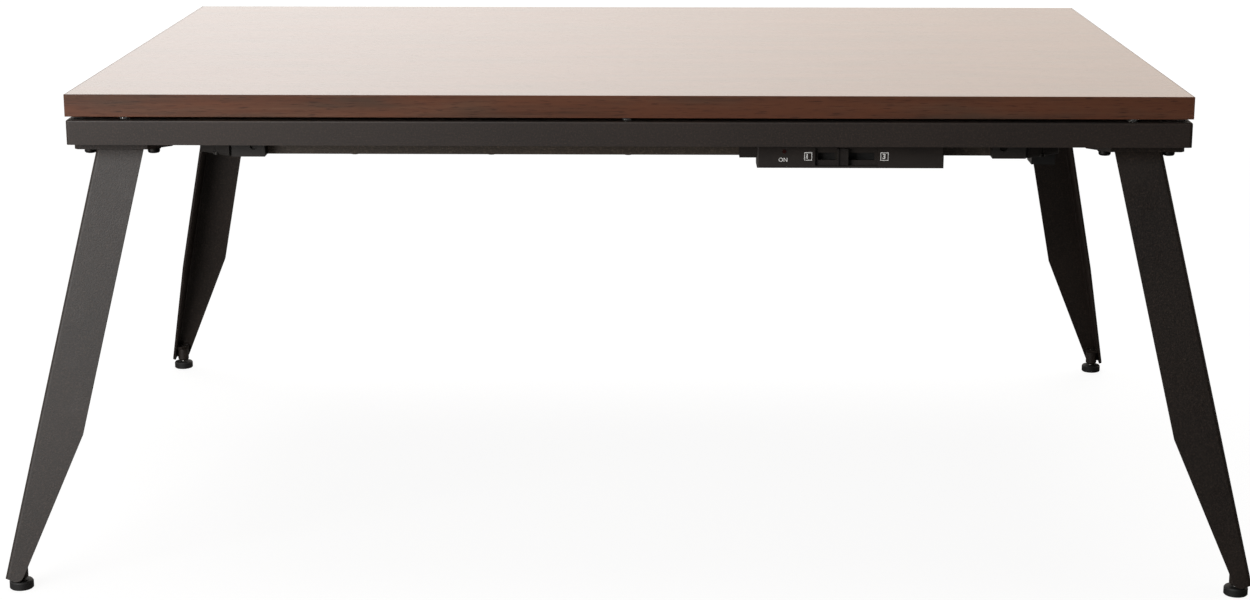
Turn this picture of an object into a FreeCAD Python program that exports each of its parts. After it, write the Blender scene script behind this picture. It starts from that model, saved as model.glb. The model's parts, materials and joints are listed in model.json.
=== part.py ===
"""Low heated table with a lift-off walnut top, a thin black frame and four splayed steel legs.

Millimetres. The origin is on the floor under the middle of the table, +X to the user's
right, +Y away from the user and +Z up. The user sits at -Y, in front of the control box.
"""
import FreeCAD, Part
import math
import os

# Fits and tools
running_fit = 0.05
loose_fit = 0.3
overrun = 5.0

# Table top
top_length = 900.0
top_depth = 600.0
top_thickness = 18.0
table_height = 400.0
veneer_thickness = 0.8
band_thickness = 1.0
band_round = 0.5

# Frame of four mitred rails
frame_inset = 0.0
rail_width = 39.0
rail_height = 20.0
rail_round = 1.5
rail_corner_round = 3.0
block_length = 46.0
block_depth = 62.0
dowel_radius = 3.0
dowel_length = 18.0
dowel_from_inside = 8.0

# Bumpers between the frame and the top
bumper_radius = 4.0
bumper_height = 2.8
bumper_from_edge = 10.0
bumper_from_end = 46.0

# Leg plates and their fixings
tie_thickness = 2.2
tie_inset = 3.5
plate_thickness = 4.0
plate_from_end = 2.5
plate_from_front = 15.0
plate_length = 76.5
plate_depth = 94.0
plate_outer_chamfer = 3.0
plate_inner_chamfer = 17.0
bolt_from_end = 13.0
bolt_from_front = 28.0
bolt_pitch_along = 51.5
bolt_pitch_back = 54.0
bolt_radius = 2.95
bolt_head_radius = 5.0
bolt_head_height = 3.6
bolt_head_round = 1.8
bolt_socket_radius = 2.3
bolt_socket_depth = 2.6
washer_radius = 5.8
washer_thickness = 1.2
insert_radius = 4.5
insert_length = 13.0

# Folded sheet legs
leg_from_corner = 19.28
leg_lean_share = 0.219
leg_sheet = 2.3
leg_width = 38.6
leg_foot_width = 12.4
leg_kink_height = 125.5
leg_fold_round = 3.6
leg_bend_round = 1.3
leg_ground_clearance = 11.5
leg_foot_slope_share = 0.42
leg_foot_round = 6.5

# Screw feet
foot_from_fold = 13.2
foot_pad_radius = 9.7
foot_pad_height = 7.4
foot_pad_wall = 5.8
foot_pad_crown = 6.6
foot_pad_shoulder = 8.9
foot_pad_shoulder_height = 6.9
foot_pad_bevel = 0.8
foot_neck = 0.9
boss_radius = 5.7
boss_height = 12.7
boss_bevel = 1.6
gusset_thickness = 3.0
gusset_reach = 11.5
stud_radius = 3.0
stud_seat = 2.5
stud_length = 21.5
stud_bevel = 0.6

# Heater case, an upside-down tray between the rails
case_sheet = 0.8
case_rail_gap = 2.0
case_side_gap = 59.0
case_corner = 24.0
case_drop = 14.0
case_below_frame_top = 6.0
case_lip = 12.0
cover_screw_radius = 3.0
cover_screw_height = 0.9
cover_screw_shank = 1.4
cover_screw_length = 5.0
cover_screw_from_end = 128.0
cover_screws_per_side = 5
vent_length = 46.0
vent_width = 5.0
vent_pitch_x = 62.0
vent_pitch_y = 15.0
vent_rows = 3
vent_columns = 8
vent_from_window = 34.0

# Brackets that hang the heater case under the rails
bracket_from_end = 57.0
bracket_length = 27.0
bracket_slot = 2.0
bracket_slot_depth = 3.0
bracket_reach = 14.0
bracket_wing_set_back = 22.0
bracket_round = 2.5
bracket_screw_radius = 1.75
bracket_screw_head = 3.1
bracket_screw_recess = 4.0
bracket_screw_from_inner = 9.0
bracket_screw_above_middle = 2.0
bracket_screw_head_height = 2.2

# Heater window, reflector and elements
window_from_side = 124.0
window_from_front = 146.0
window_round = 14.0
reflector_from_window = 13.0
reflector_sheet = 0.6
trough_from_window = 9.0
trough_height = 18.0
trough_flat_share = 0.3
trough_shoulder_share = 0.74
trough_shoulder_height_share = 0.7
insulation_thickness = 2.2
end_plate_sheet = 1.2
tube_radius = 5.5
tube_wall = 1.0
tube_drop = 12.0
core_radius = 2.6
holder_length = 16.0
holder_width = 18.0
holder_bore_depth = 9.0
thermostat_radius = 9.0
thermostat_height = 7.0
fuse_radius = 2.6
fuse_length = 16.0
terminal_length = 42.0
terminal_depth = 18.0
terminal_height = 11.0
terminal_from_side = 80.0
terminal_from_front = 63.0
terminal_groove = 3.0

# Wire guard over the window
guard_margin = 8.0
guard_ring_wire = 1.5
guard_wire = 1.0
guard_drop = 8.0
guard_slope_run = 16.0
guard_bend = 6.0
guard_wires = 17
guard_runners = 3
guard_corner = 16.0
clip_length = 14.0
clip_width = 12.0
clip_wall = 1.4

# Power inlet
inlet_depth = 19.5
inlet_width = 24.0
inlet_height = 32.0
inlet_drop = 12.8
inlet_from_front = 31.0
inlet_wall = 3.0
inlet_cavity = 16.0
inlet_proud = 1.0
pin_radius = 1.75
pin_length = 10.0
pin_pitch = 12.0

# Control box under the front rail
control_from_side = 97.5
control_length = 150.2
control_front_set_back = 15.0
control_height = 20.0
control_wall = 2.0
control_lid = 1.5
control_round = 1.2
control_ear = 13.9
control_ear_height = 13.6
control_screw_radius = 1.75
control_screw_head = 3.2
control_screw_head_height = 2.0
control_screw_from_right = 14.0
track_from_left = 46.7
track_length = 50.4
track_above_bottom = 2.0
track_height = 14.5
track_recess = 3.0
knob_from_track_left = 17.7
knob_width = 8.9
knob_clearance = 0.5
knob_proud = 1.4
knob_rib = 1.3
stem_width = 4.0
stem_height = 5.0
carriage_overlap = 1.8
carriage_depth = 3.6
switch_length = 62.0
switch_depth = 9.0
board_thickness = 1.6
board_margin = 6.0
lamp_from_left = 21.8
lamp_above_bottom = 13.6
lamp_radius = 1.6
lamp_proud = 0.4

# Leads inside the case
lead_radius = 1.6
lead_bend_share = 0.45
lead_hole_radius = 3.5
lead_from_right = 46.0
lead_above_bottom = 11.0
lead_clearance = 3.0
lead_hang = 7.0

# Levels and faces that follow from the sizes
frame_top = table_height - top_thickness - bumper_height
frame_bottom = frame_top - rail_height
frame_x = top_length / 2 - frame_inset
frame_y = top_depth / 2 - frame_inset
tie_bottom = frame_bottom - tie_thickness
plate_bottom = tie_bottom - plate_thickness
case_bottom = frame_bottom - case_drop
case_top = frame_top - case_below_frame_top
case_x = frame_x - rail_width - case_side_gap
case_y = frame_y - rail_width - case_rail_gap
cover_top = case_bottom + case_sheet
roof = case_top - case_sheet
bracket_front = case_y + bracket_reach
bracket_inner = case_x - bracket_from_end
bracket_outer = bracket_inner + bracket_length
bracket_wing_x = bracket_outer + bracket_slot
fold_at_floor = leg_from_corner - leg_lean_share * plate_bottom
foot_x = frame_x - fold_at_floor - foot_from_fold
foot_y = frame_y - fold_at_floor - foot_from_fold
boss_bottom = foot_pad_height + foot_neck
boss_top = boss_bottom + boss_height
gusset_top = boss_top + gusset_thickness
window_x = case_x - window_from_side
window_y = case_y - window_from_front
cover_screw_pitch = 2 * (case_x - cover_screw_from_end) / (cover_screws_per_side - 1)
reflector_x = window_x - reflector_from_window
trough_half_width = (window_y - trough_from_window) / 2
element_y = trough_half_width
terminal_x = case_x - terminal_from_side
terminal_y = terminal_from_front - case_y
reflector_top = roof - insulation_thickness - loose_fit
tube_z = reflector_top - tube_drop
end_plate_bottom = reflector_top - reflector_sheet - trough_height
control_front = frame_y - control_front_set_back
control_bottom = frame_bottom - control_height
control_right = case_x - control_from_side
control_left = control_right - control_length
control_top = frame_bottom - control_lid
track_left = control_left + track_from_left
track_bottom = control_bottom + track_above_bottom
track_floor = control_front - track_recess
track_back = track_floor - control_wall
knob_left = track_left + knob_from_track_left
knob_x = knob_left + knob_width / 2
track_right = track_left + track_length
track_top = track_bottom + track_height
stem_bottom = track_bottom + (track_height - stem_height) / 2
stem_top = stem_bottom + stem_height
slide_left = knob_from_track_left - knob_clearance
slide_right = track_length - knob_from_track_left - knob_width - knob_clearance
carriage_front = track_back - loose_fit
switch_front = carriage_front - carriage_depth - loose_fit
board_front = switch_front - switch_depth
lamp_x = control_left + lamp_from_left
lamp_z = control_bottom + lamp_above_bottom
lead_x = control_right - lead_from_right
lead_z = control_bottom + lead_above_bottom
inlet_bottom = case_bottom - inlet_drop
inlet_outer = case_x + inlet_proud
inlet_inner = inlet_outer - inlet_depth
inlet_front = inlet_from_front - case_y
inlet_back = inlet_front + inlet_width
guard_x = window_x + guard_margin
guard_y = window_y + guard_margin
guard_z = case_bottom - guard_ring_wire

UP = FreeCAD.Vector(0, 0, 1)
ALONG_X = FreeCAD.Vector(1, 0, 0)
ALONG_Y = FreeCAD.Vector(0, 1, 0)
CORNERS = {"front_left": (-1, -1), "front_right": (1, -1), "back_right": (1, 1), "back_left": (-1, 1)}

nodes = {}


def vec(x, y, z):
    return FreeCAD.Vector(x, y, z)


def box(low, high):
    """Box between two opposite corners."""
    size = [b - a for a, b in zip(low, high)]
    return Part.makeBox(size[0], size[1], size[2], vec(*low))


def rod(radius, start, end):
    """Round bar from one point to another."""
    line = vec(*end) - vec(*start)
    return Part.makeCylinder(radius, line.Length, vec(*start), line)


def upright(radius, x, y, bottom, top):
    """Round bar along Z."""
    return rod(radius, (x, y, bottom), (x, y, top))


def bar_x(radius, start, end, y, z):
    """Round bar along X."""
    return rod(radius, (start, y, z), (end, y, z))


def bar_y(radius, x, start, end, z):
    """Round bar along Y."""
    return rod(radius, (x, start, z), (x, end, z))


def outline(points, z):
    """Flat face with the given corners at height z."""
    corners = [vec(x, y, z) for x, y in points]
    return Part.Face(Part.makePolygon(corners + corners[:1]))


def slab(points, bottom, top):
    """Plate of the given outline between two heights."""
    return outline(points, bottom).extrude(vec(0, 0, top - bottom))


def rounded_slab(half_x, half_y, radius, bottom, top):
    """Rectangular plate about the origin with rounded corners."""
    plate = box((-half_x, -half_y, bottom), (half_x, half_y, top))
    upright = [e for e in plate.Edges if abs(e.Vertexes[0].Z - e.Vertexes[-1].Z) > (top - bottom) / 2]
    return plate.makeFillet(radius, upright)


def turned(profile, x, y):
    """Solid of revolution about the upright axis through x, y; the profile is radius and height."""
    points = [vec(r, 0, z) for r, z in profile]
    face = Part.Face(Part.makePolygon(points + points[:1]))
    solid = face.revolve(vec(0, 0, 0), UP, 360)
    solid.translate(vec(x, y, 0))
    return solid


def turned_about(shape, angle):
    """Copy of a shape, turned about the table's upright middle axis."""
    return shape.rotated(vec(0, 0, 0), UP, angle)


def group(shapes):
    return Part.makeCompound(shapes)


def fuse(shapes):
    return shapes[0].fuse(shapes[1:]).removeSplitter()


def spots(x, y):
    """The same place at all four corners."""
    return [(sx * x, sy * y) for sx, sy in CORNERS.values()]


def to_corner(shape, sx, sy):
    """Copy of a shape built at the front left, mirrored to another corner of the table."""
    placed = shape.copy()
    if sx > 0:
        placed = placed.mirror(vec(0, 0, 0), ALONG_X)
    if sy > 0:
        placed = placed.mirror(vec(0, 0, 0), ALONG_Y)
    return placed


def four(shape):
    return [to_corner(shape, sx, sy) for sx, sy in CORNERS.values()]


def rounded_path(points, share):
    """Straight runs joined by tangent arcs; each arc takes this share of its shorter run."""
    corners = [vec(*p) for p in points]
    edges = []
    start = corners[0]
    for before, corner, after in zip(corners, corners[1:], corners[2:]):
        back = before - corner
        ahead = after - corner
        reach = share * min(back.Length, ahead.Length)
        back.normalize()
        ahead.normalize()
        enter = corner + back * reach
        leave = corner + ahead * reach
        half_angle = back.getAngle(ahead) / 2
        inward = back + ahead
        inward.normalize()
        radius = reach * math.tan(half_angle)
        middle = corner + inward * (radius / math.sin(half_angle) - radius)
        edges.append(Part.LineSegment(start, enter).toShape())
        edges.append(Part.Arc(enter, middle, leave).toShape())
        start = leave
    edges.append(Part.LineSegment(start, corners[-1]).toShape())
    return Part.Wire(edges)


def tube_along(points, radius, share):
    """Round bar swept along a rounded path."""
    path = rounded_path(points, share)
    first = vec(*points[0])
    heading = vec(*points[1]) - first
    ring = Part.Wire([Part.makeCircle(radius, first, heading)])
    return path.makePipeShell([ring], True, False)


# Table top


def make_top():
    """Board with a veneer above, a backing sheet below and a band on each edge."""
    bottom = table_height - top_thickness
    half_x = top_length / 2
    half_y = top_depth / 2
    core_x = half_x - band_thickness
    core_y = half_y - band_thickness
    core_bottom = bottom + veneer_thickness
    core_top = table_height - veneer_thickness
    nodes["top_core"] = box((-core_x, -core_y, core_bottom), (core_x, core_y, core_top))
    nodes["top_veneer"] = box((-core_x, -core_y, core_top), (core_x, core_y, table_height))
    nodes["top_backing"] = box((-core_x, -core_y, bottom), (core_x, core_y, core_bottom))
    long_band = ease_band(box((-half_x, -half_y, bottom), (half_x, -core_y, table_height)))
    nodes["edge_bands_long"] = group([long_band, turned_about(long_band, 180)])
    side_band = ease_band(box((-half_x, -core_y, bottom), (-core_x, core_y, table_height)))
    nodes["edge_bands_short"] = group([side_band, turned_about(side_band, 180)])


def ease_band(band):
    """Break the long outer edges of an edge band, above and below."""
    half_x = top_length / 2
    half_y = top_depth / 2
    long_edges = [e for e in band.Edges if e.Length > top_depth / 2]
    outer = [e for e in long_edges if on_rim(e, half_x, half_y)]
    return band.makeFillet(band_round, outer)


def on_rim(edge, half_x, half_y):
    """True if the whole edge lies in one outer face of the top."""
    ends = [v.Point for v in edge.Vertexes]
    return within([p.x for p in ends], half_x) or within([p.y for p in ends], half_y)


def within(values, half):
    """True if all the values lie on the same outer face at this half size."""
    at_face = all(abs(abs(v) - half) < running_fit for v in values)
    return at_face and max(values) - min(values) < running_fit


# Frame


def bolt_spots():
    """Places of the four bolts of the front left leg plate."""
    near_x = frame_x - bolt_from_end
    near_y = frame_y - bolt_from_front
    columns = (-near_x, bolt_pitch_along - near_x)
    rows = (-near_y, bolt_pitch_back - near_y)
    return [(x, y) for x in columns for y in rows]


def insert_holes():
    """Blind holes for the threaded inserts, from below, at all corners."""
    top = frame_bottom + insert_length
    radius = insert_radius + running_fit
    low = frame_bottom - overrun
    return four(group([upright(radius, x, y, low, top) for x, y in bolt_spots()]))


def dowel_ends():
    """Ends of the dowel across the front left mitre."""
    centre = rail_width - dowel_from_inside
    x = -frame_x + centre
    y = -frame_y + centre
    half = dowel_length / 2 * math.sqrt(0.5)
    level = frame_bottom + rail_height / 2
    return (x - half, y + half, level), (x + half, y - half, level)


def frame_outside():
    """Block as large as the whole frame, rounded at its corners and along its upper edge."""
    block = box((-frame_x, -frame_y, frame_bottom), (frame_x, frame_y, frame_top))
    corners = [e for e in block.Edges if e.BoundBox.ZLength > rail_height / 2]
    block = block.makeFillet(rail_corner_round, corners)
    rim = [e for e in block.Edges if e.BoundBox.ZMin > frame_top - running_fit]
    return block.makeFillet(rail_round, rim)


def mitred_rail(outside, start, end):
    """Rail between two outer corners of the frame, mitred at both ends."""
    inner = [(x - math.copysign(rail_width, x), y - math.copysign(rail_width, y)) for x, y in (end, start)]
    return outside.common(slab([start, end] + inner, frame_bottom, frame_top))


def make_frame():
    start, end = dowel_ends()
    dowel = rod(dowel_radius, start, end)
    reach = vec(*end) - vec(*start)
    reach.normalize()
    reach = reach * running_fit
    dowel_hole = rod(dowel_radius + running_fit, vec(*start) - reach, vec(*end) + reach)
    cutters = insert_holes() + four(dowel_hole)
    outside = frame_outside()
    corners = [(-frame_x, -frame_y), (frame_x, -frame_y), (frame_x, frame_y), (-frame_x, frame_y)]
    for i, name in enumerate(("rail_front", "rail_right", "rail_back", "rail_left")):
        nodes[name] = mitred_rail(outside, corners[i], corners[(i + 1) % 4]).cut(cutters)
    x = -frame_x + rail_width
    y = -frame_y + rail_width
    block = box((x, y, frame_bottom), (x + block_length, y + block_depth, frame_top))
    nodes["corner_blocks"] = group([b.cut(cutters) for b in four(block)])
    nodes["mitre_dowels"] = group(four(dowel))


def make_bumpers():
    """Clear stick-on bumpers that carry the top clear of the rails."""
    near_x = frame_x - bumper_from_edge
    near_y = frame_y - bumper_from_edge
    places = spots(frame_x - bumper_from_end, near_y)
    places += [(0, near_y), (0, -near_y), (near_x, 0), (-near_x, 0)]
    top = frame_top + bumper_height
    bumpers = [rod(bumper_radius, (x, y, frame_top), (x, y, top)) for x, y in places]
    nodes["top_bumpers"] = group(bumpers)


# Leg plates


def plate_outline(inset):
    """Outline of the front left leg plate, drawn in by the inset."""
    x0 = -frame_x + plate_from_end + inset
    x1 = -frame_x + plate_from_end + plate_length - inset
    y0 = -frame_y + plate_from_front + inset
    y1 = -frame_y + plate_from_front + plate_depth - inset
    out = plate_outer_chamfer
    inn = plate_inner_chamfer
    front = [(x0 + out, y0), (x1 - inn, y0), (x1, y0 + inn)]
    back = [(x1, y1 - inn), (x1 - inn, y1), (x0 + out, y1)]
    return front + back + [(x0, y1 - out), (x0, y0 + out)]


def drilled(plate):
    """Plate with clearance holes for its bolts."""
    radius = bolt_radius + loose_fit
    low = plate_bottom - overrun
    return plate.cut([upright(radius, x, y, low, frame_bottom + overrun) for x, y in bolt_spots()])


def make_plates():
    tie = drilled(slab(plate_outline(tie_inset), tie_bottom, frame_bottom))
    nodes["corner_tie_plates"] = group(four(tie))
    plate = drilled(slab(plate_outline(0), plate_bottom, tie_bottom))
    for name, (sx, sy) in CORNERS.items():
        nodes["leg_plate_" + name] = to_corner(plate, sx, sy)


def make_bolt(x, y):
    """Button head bolt from below, with a hexagon socket."""
    under_head = plate_bottom - washer_thickness
    face = under_head - bolt_head_height
    tip = frame_bottom + insert_length
    arc = 3
    profile = [(0, tip), (bolt_radius, tip), (bolt_radius, under_head), (bolt_head_radius, under_head)]
    flat = bolt_head_radius - bolt_head_round
    level = face + bolt_head_round
    for i in range(arc + 1):
        angle = math.pi / 2 * i / arc
        across = flat + bolt_head_round * math.cos(angle)
        profile.append((across, level - bolt_head_round * math.sin(angle)))
    profile.append((0, face))
    socket = slab(hexagon(x, y, bolt_socket_radius), face - overrun, face + bolt_socket_depth)
    return turned(profile, x, y).cut(socket)


def hexagon(x, y, radius):
    angles = [math.pi / 3 * i for i in range(6)]
    return [(x + radius * math.cos(a), y + radius * math.sin(a)) for a in angles]


def make_fixings():
    bolts = []
    washers = []
    inserts = []
    top = frame_bottom + insert_length
    under_head = plate_bottom - washer_thickness
    for x, y in bolt_spots():
        bolts.append(make_bolt(x, y))
        hole = upright(bolt_radius + running_fit, x, y, under_head, top)
        washers.append(upright(washer_radius, x, y, under_head, plate_bottom).cut(hole))
        inserts.append(upright(insert_radius, x, y, frame_bottom, top).cut(hole))
    nodes["leg_bolts"] = group(four(group(bolts)))
    nodes["bolt_washers"] = group(four(group(washers)))
    nodes["threaded_inserts"] = group(four(group(inserts)))


# Legs


def fold_place():
    """Where the fold's outer corner of the front left leg meets the floor level."""
    return vec(-frame_x + fold_at_floor, -frame_y + fold_at_floor, 0)


def lean_to(height):
    """How far the leg runs inwards while it rises by a height."""
    return vec(leg_lean_share * height, leg_lean_share * height, height)


def angle_profile(width, wall):
    """Angle section at floor level with its outer corner at the origin, rounded at the fold."""
    points = [(0, 0), (width, 0), (width, wall), (wall, wall), (wall, width), (0, width)]
    return outline(points, 0)


def make_leg():
    """Angle of folded sheet that leans outwards both ways and tapers below the kink."""
    wall = leg_sheet * math.sqrt(1 + leg_lean_share ** 2)
    angle = angle_profile(leg_width, wall).extrude(lean_to(plate_bottom))
    angle = angle.makeFillet(leg_fold_round, [slanted_edge(angle, 0)])
    angle = angle.makeFillet(leg_bend_round, [slanted_edge(angle, wall)])
    for across in (ALONG_X, ALONG_Y):
        angle = angle.cut(taper_cutter(across))
    angle = angle.cut(foot_cutter())
    angle = angle.makeFillet(leg_foot_round, foot_corners(angle, wall))
    angle.translate(fold_place())
    return angle


def slanted_edge(shape, offset):
    """The edge up the leg that starts at the same offset from both sides."""
    for edge in shape.Edges:
        ends = sorted((v.Point for v in edge.Vertexes), key=lambda p: p.z)
        low = ends[0]
        rises = ends[-1].z - low.z > plate_bottom / 2
        if rises and abs(low.x - offset) < running_fit and abs(low.y - offset) < running_fit:
            return edge
    raise ValueError("no such edge")


def taper_cutter(across):
    """Wedge that takes the free edge of one flange off below the kink."""
    kink = leg_lean_share * leg_kink_height + leg_width
    per_height = (kink - leg_foot_width) / leg_kink_height
    points = [(kink, leg_kink_height), (leg_foot_width - per_height * overrun, -overrun)]
    points += [(kink + overrun, -overrun), (kink + overrun, leg_kink_height)]
    if across == ALONG_X:
        corners = [vec(x, -overrun, z) for x, z in points]
        sweep = vec(0, kink + 2 * overrun, 0)
    else:
        corners = [vec(-overrun, y, z) for y, z in points]
        sweep = vec(kink + 2 * overrun, 0, 0)
    return Part.Face(Part.makePolygon(corners + corners[:1])).extrude(sweep)


def foot_cutter():
    """Everything below the slanting cut across the foot of the leg."""
    at_fold = lean_to(leg_ground_clearance)
    side_x = vec(1, 0, -leg_foot_slope_share)
    side_y = vec(0, 1, -leg_foot_slope_share)
    near = -overrun
    far = leg_width + overrun
    plan = ((near, near), (far, near), (far, far), (near, far))
    corners = [at_fold + side_x * s + side_y * t for s, t in plan]
    return Part.Face(Part.makePolygon(corners + corners[:1])).extrude(vec(0, 0, -leg_width))


def foot_corners(shape, wall):
    """The two short edges at the free lower corners of the flanges."""
    def reach(edge):
        return max(edge.CenterOfMass.x, edge.CenterOfMass.y)

    def crosses_sheet(edge):
        low = max(v.Point.z for v in edge.Vertexes) < leg_ground_clearance
        return low and edge.Length < wall * 2

    return sorted((e for e in shape.Edges if crosses_sheet(e)), key=reach)[-2:]


def make_gusset():
    """Small level plate in the angle of the leg, clipped at the bend and at its free corner."""
    wall = leg_sheet * math.sqrt(1 + leg_lean_share ** 2)
    reach = wall + gusset_reach
    clip = wall + gusset_reach / 2
    bend = wall + leg_bend_round
    shift = leg_lean_share * boss_top
    plan = [(bend, wall), (reach, wall), (reach, clip), (clip, reach), (wall, reach), (wall, bend)]
    face = outline([(x + shift, y + shift) for x, y in plan], boss_top)
    plate = face.extrude(lean_to(gusset_thickness))
    plate.translate(fold_place())
    return plate


def make_foot_socket():
    """Round boss under the gusset plate, bored through for the stud."""
    x = -foot_x
    y = -foot_y
    hole = rod(stud_radius + running_fit, (x, y, 0), (x, y, gusset_top + overrun))
    throat = boss_radius - boss_bevel
    profile = [(0, boss_bottom), (throat, boss_bottom), (boss_radius, boss_bottom + boss_bevel)]
    profile += [(boss_radius, boss_top), (0, boss_top)]
    return fuse([make_gusset(), turned(profile, x, y)]).cut(hole)


def make_legs():
    leg = make_leg()
    nodes["foot_sockets"] = group(four(make_foot_socket()))
    for name, (sx, sy) in CORNERS.items():
        nodes["leg_" + name] = to_corner(leg, sx, sy)


def make_feet():
    """Screw foot at each leg: a threaded stud moulded into a round pad."""
    rim = foot_pad_radius
    pad_profile = [(0, 0), (rim - foot_pad_bevel, 0), (rim, foot_pad_bevel), (rim, foot_pad_wall)]
    pad_profile += [(foot_pad_shoulder, foot_pad_shoulder_height), (foot_pad_crown, foot_pad_height)]
    pad_profile.append((0, foot_pad_height))
    stud_top = stud_seat + stud_length
    tip = stud_radius - stud_bevel
    stud_profile = [(0, stud_seat), (stud_radius, stud_seat), (stud_radius, stud_top - stud_bevel)]
    stud_profile += [(tip, stud_top), (0, stud_top)]
    for name, (sx, sy) in CORNERS.items():
        x = sx * foot_x
        y = sy * foot_y
        socket = rod(stud_radius, (x, y, stud_seat), (x, y, foot_pad_height))
        nodes["foot_pad_" + name] = turned(pad_profile, x, y).cut(socket)
        nodes["foot_stud_" + name] = turned(stud_profile, x, y)


# Heater case


def case_plan(inset):
    """Outline of the heater case with clipped corners, drawn in by the inset."""
    x = case_x - inset
    y = case_y - inset
    clip = case_corner - inset * (2 - math.sqrt(2))
    right = [(x, -y + clip), (x, y - clip), (x - clip, y)]
    left = [(-x + clip, y), (-x, y - clip), (-x, -y + clip), (-x + clip, -y)]
    return right + left + [(x - clip, -y)]


def cover_screw_spots():
    """Screws along the long sides and one at the middle of each short side."""
    line = case_y - case_lip / 2
    side = case_x - case_lip / 2
    first = cover_screw_from_end - case_x
    along = [first + i * cover_screw_pitch for i in range(cover_screws_per_side)]
    places = [(x, y) for y in (-line, line) for x in along]
    return places + [(-side, 0), (side, 0)]


def inlet_block():
    """The inlet's body before it is hollowed; the case and its cover are notched for it."""
    low = (inlet_inner, inlet_front, inlet_bottom)
    return box(low, (inlet_outer, inlet_back, inlet_bottom + inlet_height))


def cover_screw_holes():
    radius = cover_screw_shank + running_fit
    low = case_bottom - overrun
    return [upright(radius, x, y, low, cover_top + overrun) for x, y in cover_screw_spots()]


def bracket_screw_line():
    level = case_bottom + case_drop / 2 + bracket_screw_above_middle
    return bracket_inner + bracket_screw_from_inner, level


def make_case():
    outer = slab(case_plan(0), case_bottom, case_top)
    room = slab(case_plan(case_sheet), case_bottom, roof)
    lip = slab(case_plan(case_sheet), cover_top, cover_top + case_sheet)
    lip = lip.cut(slab(case_plan(case_lip), case_bottom, case_top))
    case = outer.cut(room).fuse(lip).removeSplitter()
    screw_x, screw_z = bracket_screw_line()
    cutters = [inlet_block(), lead_passage()]
    hole = bracket_screw_radius + running_fit
    for x, y in spots(screw_x, case_y):
        cutters.append(bar_y(hole, x, y - overrun, y + overrun, screw_z))
    cutters += cover_screw_holes()
    nodes["heater_case"] = case.cut(cutters)


def window(inset, bottom, top):
    """Rounded opening of the cover, drawn in by the inset."""
    return rounded_slab(window_x - inset, window_y - inset, window_round - inset, bottom, top)


def vent_cutters():
    """Slots through the cover in rows in front of and behind the window."""
    low = case_bottom - overrun
    high = cover_top + overrun
    first_x = -(vent_columns - 1) / 2 * vent_pitch_x
    slots = []
    for column in range(vent_columns):
        x = first_x + column * vent_pitch_x
        for row in range(vent_rows):
            y = window_y + vent_from_window + row * vent_pitch_y
            for side in (-1, 1):
                start = (x - vent_length / 2, side * y - vent_width / 2, low)
                end = (x + vent_length / 2, side * y + vent_width / 2, high)
                slots.append(box(start, end))
    return slots


def make_cover():
    plate = slab(case_plan(case_sheet + loose_fit), case_bottom, cover_top)
    low = case_bottom - overrun
    cutters = vent_cutters()
    cutters.append(window(0, low, cover_top + overrun))
    cutters.append(inlet_block())
    cutters += cover_screw_holes()
    nodes["heater_cover"] = plate.cut(cutters)
    screws = []
    for x, y in cover_screw_spots():
        head = upright(cover_screw_radius, x, y, case_bottom - cover_screw_height, case_bottom)
        shank = upright(cover_screw_shank, x, y, case_bottom, case_bottom + cover_screw_length)
        screws.append(head.fuse(shank))
    nodes["cover_screws"] = group(screws)


# Brackets


def make_brackets():
    """Corner bracket under the rail: a block with a screw recess and a wing round the case's corner."""
    seam = bracket_wing_x
    wing_y = -bracket_front + bracket_wing_set_back
    clip_x = case_x - case_corner
    clip_y = -case_y + case_corner
    gap = loose_fit * math.sqrt(2)
    slot_y = -bracket_front + bracket_slot_depth
    plan = [(bracket_inner, -bracket_front), (bracket_outer, -bracket_front)]
    plan += [(bracket_outer, slot_y), (seam, slot_y)]
    plan += [(seam, -bracket_front), (case_x, wing_y), (case_x, clip_y - gap)]
    plan += [(clip_x + gap, -case_y), (bracket_inner, -case_y)]
    body = slab([(-x, y) for x, y in plan], case_bottom, frame_bottom)
    body = body.makeFillet(bracket_round, wing_edges(body, seam, wing_y))
    screw_x, screw_z = bracket_screw_line()
    rail_x = (seam + case_x) / 2 - bracket_slot
    rail_y = -case_y - bracket_round
    head_y = -bracket_front + bracket_screw_recess
    head_hole = bracket_screw_head + running_fit
    shank_hole = bracket_screw_radius + running_fit
    inside = -case_y + overrun
    sink = case_bottom + bracket_screw_head_height
    cutters = [bar_y(head_hole, -screw_x, -bracket_front - overrun, head_y, screw_z)]
    cutters.append(bar_y(shank_hole, -screw_x, head_y, inside, screw_z))
    cutters.append(upright(head_hole, -rail_x, rail_y, case_bottom - overrun, sink))
    cutters.append(upright(shank_hole, -rail_x, rail_y, sink, frame_bottom))
    nodes["heater_brackets"] = group(four(body.cut(cutters)))
    head_front = head_y - bracket_screw_head_height
    level_head = bar_y(bracket_screw_head, -screw_x, head_front, head_y, screw_z)
    level_screw = level_head.fuse(bar_y(bracket_screw_radius, -screw_x, head_y, inside, screw_z))
    rail_head = upright(bracket_screw_head, -rail_x, rail_y, case_bottom, sink)
    rail_screw = rail_head.fuse(upright(bracket_screw_radius, -rail_x, rail_y, sink, frame_bottom))
    nodes["bracket_screws"] = group(four(group([level_screw, rail_screw])))


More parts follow.
